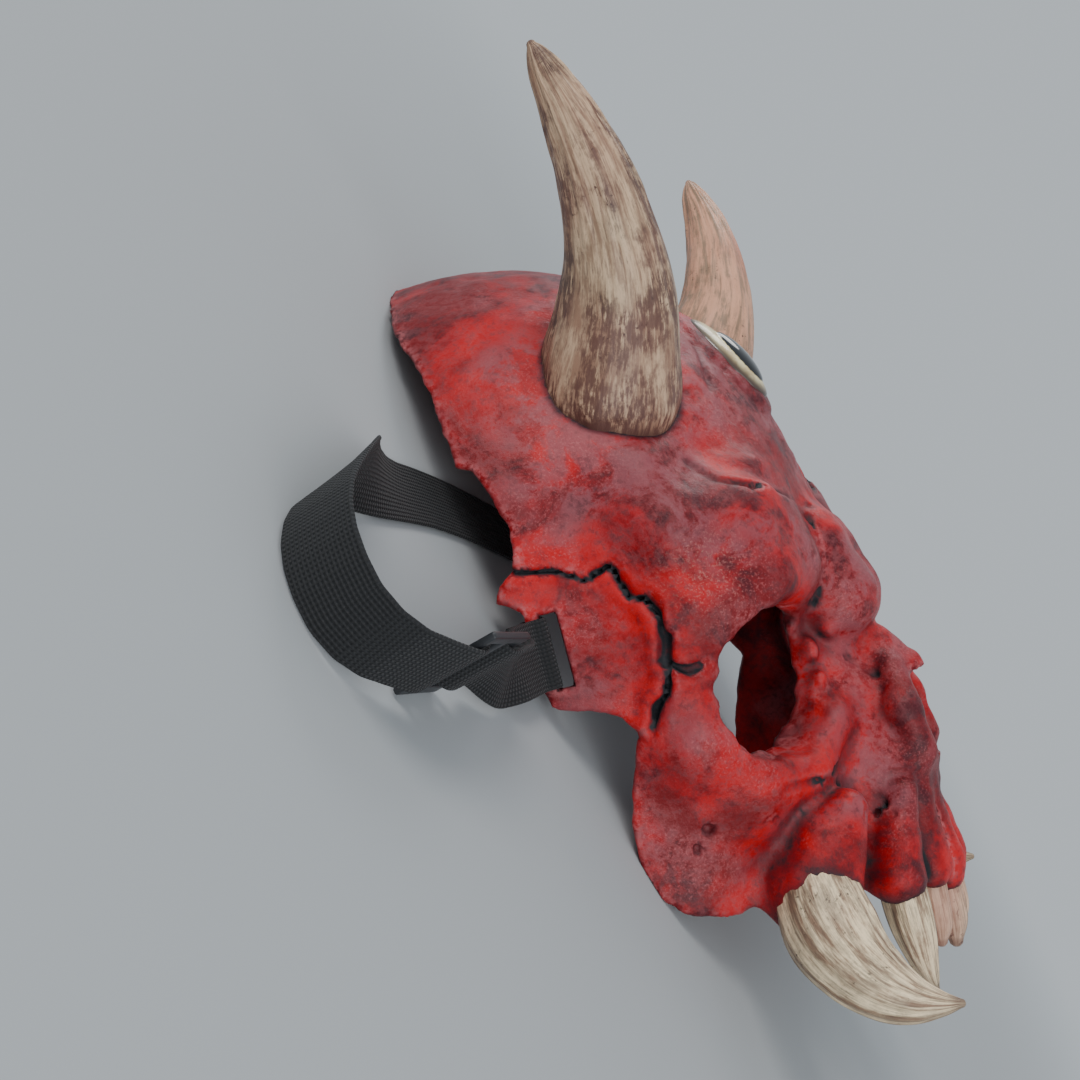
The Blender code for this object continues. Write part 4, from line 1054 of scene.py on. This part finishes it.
def webbing_cloth():
    n = Nodes("black webbing")
    across, along = n.attribute("across"), n.attribute("along")
    rib = n.math("SINE", n.times(across, 2 * math.pi))
    stitch = n.math("SINE", n.times(along, 2 * math.pi / STITCH_PITCH))
    weave = n.times(n.plus(rib, 1.2), n.plus(stitch, 1.6))
    fuzz = n.noise(n.place(), 1500.0, 3.0, 0.6)
    tone = n.ramp(n.plus(n.times(weave, 0.16), n.times(fuzz, 0.3)), 0.1, 1.0, False)
    n.shade("Base Color", n.mix(tone, (0.004, 0.0045, 0.0055), (0.016, 0.017, 0.020)))
    n.shade("Roughness", 0.78)
    n.shade("Sheen Weight", 0.06)
    n.shade("Sheen Roughness", 0.4)
    n.shade("Normal", n.bump(weave, 0.55, 0.0004))
    return n.material


def slider_plastic():
    n = Nodes("slider plastic")
    fine = n.noise(n.place(), 900.0, 3.0, 0.6)
    n.shade("Base Color", n.mix(fine, (0.012, 0.013, 0.016), (0.030, 0.032, 0.036)))
    n.shade("Roughness", n.plus(n.times(fine, 0.2), 0.32))
    n.shade("Normal", n.bump(fine, 0.15, 0.0003))
    return n.material


# Pieces


def ivory_gap(side):
    """How far a point of the mask is from the nearest horn or tooth."""
    gaps = []
    for knots in (HORN, TUSK, CANINE, LATERAL_INCISOR, CENTRAL_INCISOR):
        gaps.append(chain(side, [(k[:3], k[3]) for k in knots], 0.5))
    return np.min(gaps, axis=0)


def mask_piece(paint):
    points, quads = net(carved_form, FORM_LOW, FORM_HIGH, FINE_STEP)
    points = settle(carved_form, points, FINE_STEP)
    slope = slope_at(carved_form, points)[1]
    normal = slope / np.maximum(np.linalg.norm(slope, axis=1, keepdims=True), 1e-6)
    side = (np.abs(points[:, 0]), points[:, 1], points[:, 2])
    # Painted shade in the hollows: a point is darker the more the nearby form closes round it. With the
    # cracks, furrows and ivory joins added below, this stands partly for dark paint settled there, partly
    # for shade.
    hollow_paint_and_shade = np.zeros(len(points))
    for reach, weight in ((1.2, 0.35), (3.0, 0.45), (7.0, 0.4)):
        room = carved_form(*(points + reach * normal).T) / reach
        hollow_paint_and_shade += weight * np.clip(0.92 - room, 0.0, 1.5)
    edge = np.zeros(len(points))
    for reach, weight in ((1.2, 0.5), (3.0, 0.6)):
        under = -carved_form(*(points - reach * normal).T) / reach
        edge += weight * np.clip(0.95 - under, 0.0, 1.0)
    seam = suture_distance(points[:, 1], points[:, 2], points)
    hollow_paint_and_shade += 0.5 * np.clip(1.0 - seam / 1.3, 0.0, 1.0) * (side[0] > 40) * (points[:, 1] < CRACK_END)
    for line, half, depth in FURROWS:
        gap = chain(side, [(p, half) for p in line], 0.5)
        hollow_paint_and_shade += 0.20 * depth * np.clip(1.0 - gap / 1.8, 0.0, 1.0)
    # Round the bases of the horns and teeth: partly a dark join line, partly painted shade.
    hollow_paint_and_shade += 1.0 * np.exp(-np.maximum(ivory_gap(side), 0.0) / 0.9)
    spots = np.clip(1.0 - np.linalg.norm(points - BROW_STAIN, axis=1) / STAIN_REACH, 0.0, 1.0)
    outside = face_form(*points.T) > -2.2
    laid = lay(points)
    laid[:, 2] = np.maximum(laid[:, 2], 0.0)
    obj = add_piece("mask_shell", laid, quads, paint, "mask_body", laid=True)
    store(obj, "hollow_paint_and_shade", np.clip(hollow_paint_and_shade, 0.0, 1.4))
    store(obj, "edge", np.clip(edge * 1.3 - 0.3, 0.0, 1.0) * outside)
    store(obj, "open", np.clip(1.0 - hollow_paint_and_shade * 1.5, 0.0, 1.0))
    store(obj, "stain", spots)
    return obj


def eye_piece(paint):
    """The third eye: a cream dome with a swollen black pupil and a sunk skirt."""
    sides, rows = 96, 44
    c, s = math.cos(math.radians(EYE_TILT)), math.sin(math.radians(EYE_TILT))
    points, pupil, rim = [], [], []
    for i in range(-1, rows):
        lift = 0.5 * math.pi * max(i, 0) / rows
        for j in range(sides):
            turn = 2 * math.pi * j / sides
            across = EYE_HALF_WIDTH * math.cos(lift) * math.cos(turn)
            along = EYE_HALF_LENGTH * math.cos(lift) * math.sin(turn)
            black = math.hypot(across / PUPIL_HALF[0], (along + PUPIL_DROP) / PUPIL_HALF[1])
            swell = PUPIL_SWELL * math.sqrt(max(0.0, 1.0 - black ** 2))
            out = -EYE_SEAT if i < 0 else EYE_BULGE * math.sin(lift) + swell - EYE_SUNK
            f = EYE_CENTRE[0] - along * s + out * c
            points.append((across, f, EYE_CENTRE[1] + along * c + out * s))
            pupil.append(np.clip(0.5 + (1.0 - black) * 4.0, 0.0, 1.0))
            rim.append(math.cos(lift))
    swell = PUPIL_SWELL * math.sqrt(1.0 - (PUPIL_DROP / PUPIL_HALF[1]) ** 2)
    top = EYE_BULGE - EYE_SUNK + swell
    points.append((0.0, EYE_CENTRE[0] + top * c, EYE_CENTRE[1] + top * s))
    points.append((0.0, EYE_CENTRE[0] - EYE_SEAT * c, EYE_CENTRE[1] - EYE_SEAT * s))
    pupil += [1.0, 0.0]
    rim += [0.0, 1.0]
    obj = add_piece("third_eye_glossy", points, ringed(rows + 1, sides), paint, "third_eye")
    store(obj, "pupil", pupil)
    store(obj, "rim", rim)
    return obj


def strap_piece(paint):
    """Ribbed webbing that follows the strap's sections."""
    rib_points, step = 3, 0.8
    sections = strap_sections()
    coarse = np.array([np.concatenate(section) for section in sections])
    run = np.concatenate([[0.0], np.cumsum(np.linalg.norm(np.diff(coarse[:, :3], axis=0), axis=1))])
    stations = np.linspace(0.0, run[-1], int(run[-1] / step))
    fine = np.stack([np.interp(stations, run, coarse[:, i]) for i in range(6)], axis=1)
    for _ in range(3):
        fine[1:-1] = 0.25 * fine[:-2] + 0.5 * fine[1:-1] + 0.25 * fine[2:]
    middles, widths = fine[:, :3], fine[:, 3:]
    ahead = np.gradient(middles, axis=0)
    ahead /= np.linalg.norm(ahead, axis=1, keepdims=True)
    widths = widths - ahead * (widths * ahead).sum(1, keepdims=True)
    widths /= np.linalg.norm(widths, axis=1, keepdims=True)
    normals = np.cross(ahead, widths)
    half, thick = 0.5 * STRAP_WIDTH, 0.5 * STRAP_THICKNESS
    across = np.linspace(-1.0, 1.0, RIB_COUNT * rib_points + 1)
    rib = RIB_HEIGHT * np.cos(math.pi * RIB_COUNT * (across + 1.0))
    edge = np.sqrt(np.clip(1.0 - np.abs(across) ** 24, 0.0, 1.0))
    height = (thick - 0.08 - rib) * (0.35 + 0.65 * edge)
    outline = [(a * half, h) for a, h in zip(across, height)]
    outline += [(a * half, -h) for a, h in zip(across[::-1], height[::-1])]
    outline = np.array(outline)
    sides = len(outline)
    ripple = 1.0 + 0.05 * noise(np.column_stack([stations, stations * 0, stations * 0]), 2.5, 3)
    points = middles[:, None] + outline[None, :, :1] * widths[:, None]
    points = points + outline[None, :, 1:] * normals[:, None] * ripple[:, None, None]
    points = points.reshape(-1, 3)
    points[:, 2] = np.maximum(points[:, 2], 0.05)
    points = np.concatenate([points, middles[-1:], middles[:1]])
    faces = ringed(len(middles), sides)
    obj = add_piece("strap_webbing", points, faces, paint, "head_strap", laid=True)
    across_values = np.tile(outline[:, 0], len(middles))
    along_values = np.repeat(stations, sides)
    store(obj, "across", np.concatenate([across_values, [0.0, 0.0]]))
    store(obj, "along", np.concatenate([along_values, [run[-1], 0.0]]))
    return obj


def slider_piece(paint):
    points, faces = slider_mesh()
    obj = add_piece("slider_moulded", points, faces, paint, "strap_slider", laid=True)
    bevel = obj.modifiers.new("moulded edges", "BEVEL")
    bevel.width = 0.55 * MM
    bevel.segments = 4
    bevel.limit_method = "ANGLE"
    return obj


# Camera and light


def set_camera():
    """The photo's camera: its axes and place in the mask's own axes, turned into the lying place."""
    across = np.array([*VANISHING, -FOCAL])
    across /= np.linalg.norm(across)
    up = np.array([0.0, FOCAL, VANISHING[1]])
    up /= np.linalg.norm(up)
    back = np.cross(up, across)
    turn = np.column_stack([across, back, up])
    shift = [pixels / FOCAL * ORIGIN_DEPTH for pixels in ORIGIN_SEEN]
    shift = np.array([*shift, -ORIGIN_DEPTH])
    origin = lay((0.0, 0.0, 0.0))
    place = lay((turn.T @ -shift) * np.array([1.0, -1.0, 1.0]))
    axes = [lay((v[0], -v[1], v[2])) - origin for v in turn]
    camera = bpy.data.cameras.new("camera")
    camera.sensor_width = 36.0
    camera.lens = FOCAL / PHOTO_SIDE * 36.0
    camera.clip_start = 0.01
    camera.clip_end = 50.0
    obj = linked("camera", camera)
    stand(obj, axes, place * MM)
    bpy.context.scene.camera = obj


def set_light():
    world = bpy.data.worlds.new("pale grey room")
    bpy.context.scene.world = world
    world.use_nodes = True
    background = world.node_tree.nodes["Background"]
    background.inputs["Color"].default_value = (*PALE, 1.0)
    background.inputs["Strength"].default_value = 1.0
    lamps = [
        ("key", (-0.60, 0.75, 0.80), 0.5, 7.0, (1.0, 0.97, 0.94)),
        ("fill", (-0.9, -0.7, 0.5), 0.9, 6.5, (0.98, 0.99, 1.0)),
        ("rim", (0.7, 0.6, 0.7), 0.6, 4.0, (1.0, 1.0, 1.0)),
    ]
    aim = np.array([0.0, MIDDLE[1], 0.03])
    for name, place, size, power, colour in lamps:
        light = bpy.data.lights.new(name, "AREA")
        light.shape = "DISK"
        light.size = size
        light.energy = power
        light.color = colour
        back = np.array(place) - aim
        back /= np.linalg.norm(back)
        side = np.cross((0.0, 0.0, 1.0), back)
        side /= np.linalg.norm(side)
        stand(linked(name, light), (side, np.cross(back, side), back), place)


def floor():
    """Pale floor that fades with distance into the grey of the room."""
    n = Nodes("pale floor")
    n.shade("Base Color", (0.40, 0.42, 0.435))
    n.shade("Roughness", 0.9)
    n.shade("Specular IOR Level", 0.1)
    gap = n.node("ShaderNodeVectorMath", {"operation": "DISTANCE"})
    n.set(gap.inputs[0], n.place())
    gap.inputs[1].default_value = MIDDLE
    glow = n.node("ShaderNodeEmission", Color=PALE, Strength=1.0)
    blend = n.node("ShaderNodeMixShader", _0=n.ramp(gap.outputs["Value"], 0.22, 0.60))
    n.tree.links.new(n.shader.outputs[0], blend.inputs[1])
    n.tree.links.new(glow.outputs[0], blend.inputs[2])
    n.tree.links.new(blend.outputs[0], n.tree.nodes["Material Output"].inputs["Surface"])
    sides, half = 64, 12.0
    turns = [2 * math.pi * i / sides for i in range(sides)]
    points = [(half * math.cos(turn), half * math.sin(turn), -0.0002) for turn in turns]
    mesh = bpy.data.meshes.new("floor")
    mesh.from_pydata(points, [], [tuple(range(sides))])
    obj = linked("floor", mesh)
    mesh.materials.append(n.material)


set_camera()
set_light()
floor()
red = red_paint()
bone = {
    -1: ivory("aged ivory", 0.2, 0.9, (0.66, 0.47, 0.30)),
    1: ivory("rosy ivory", 0.7, 0.12, (0.72, 0.37, 0.23), (0.56, 0.20, 0.13)),
}
tooth_bone = ivory("tooth ivory", 0.1, 0.45, (1.0, 0.80, 0.52))
front_bone = ivory("front tooth ivory", 0.6, 0.3, (0.84, 0.58, 0.40))
mask_piece(red)
for side, word in ((-1, "right"), (1, "left")):
    grown_rod("horn_" + word + "_grown", HORN, side, 132, 200, bone[side], 0.45, HORN_SKIN)
    grown_rod("tusk_" + word + "_grown", TUSK, side, 96, 120, tooth_bone, 0.3)
    grown_rod("canine_" + word + "_grown", CANINE, side, 64, 70, tooth_bone, 0.2)
    grown_rod("lateral_incisor_" + word + "_grown", LATERAL_INCISOR, side, 48, 48, front_bone, 0.15)
    grown_rod("central_incisor_" + word + "_grown", CENTRAL_INCISOR, side, 48, 48, front_bone, 0.15)
eye_piece(eye_paint())
strap_piece(webbing_cloth())
slider_piece(slider_plastic())
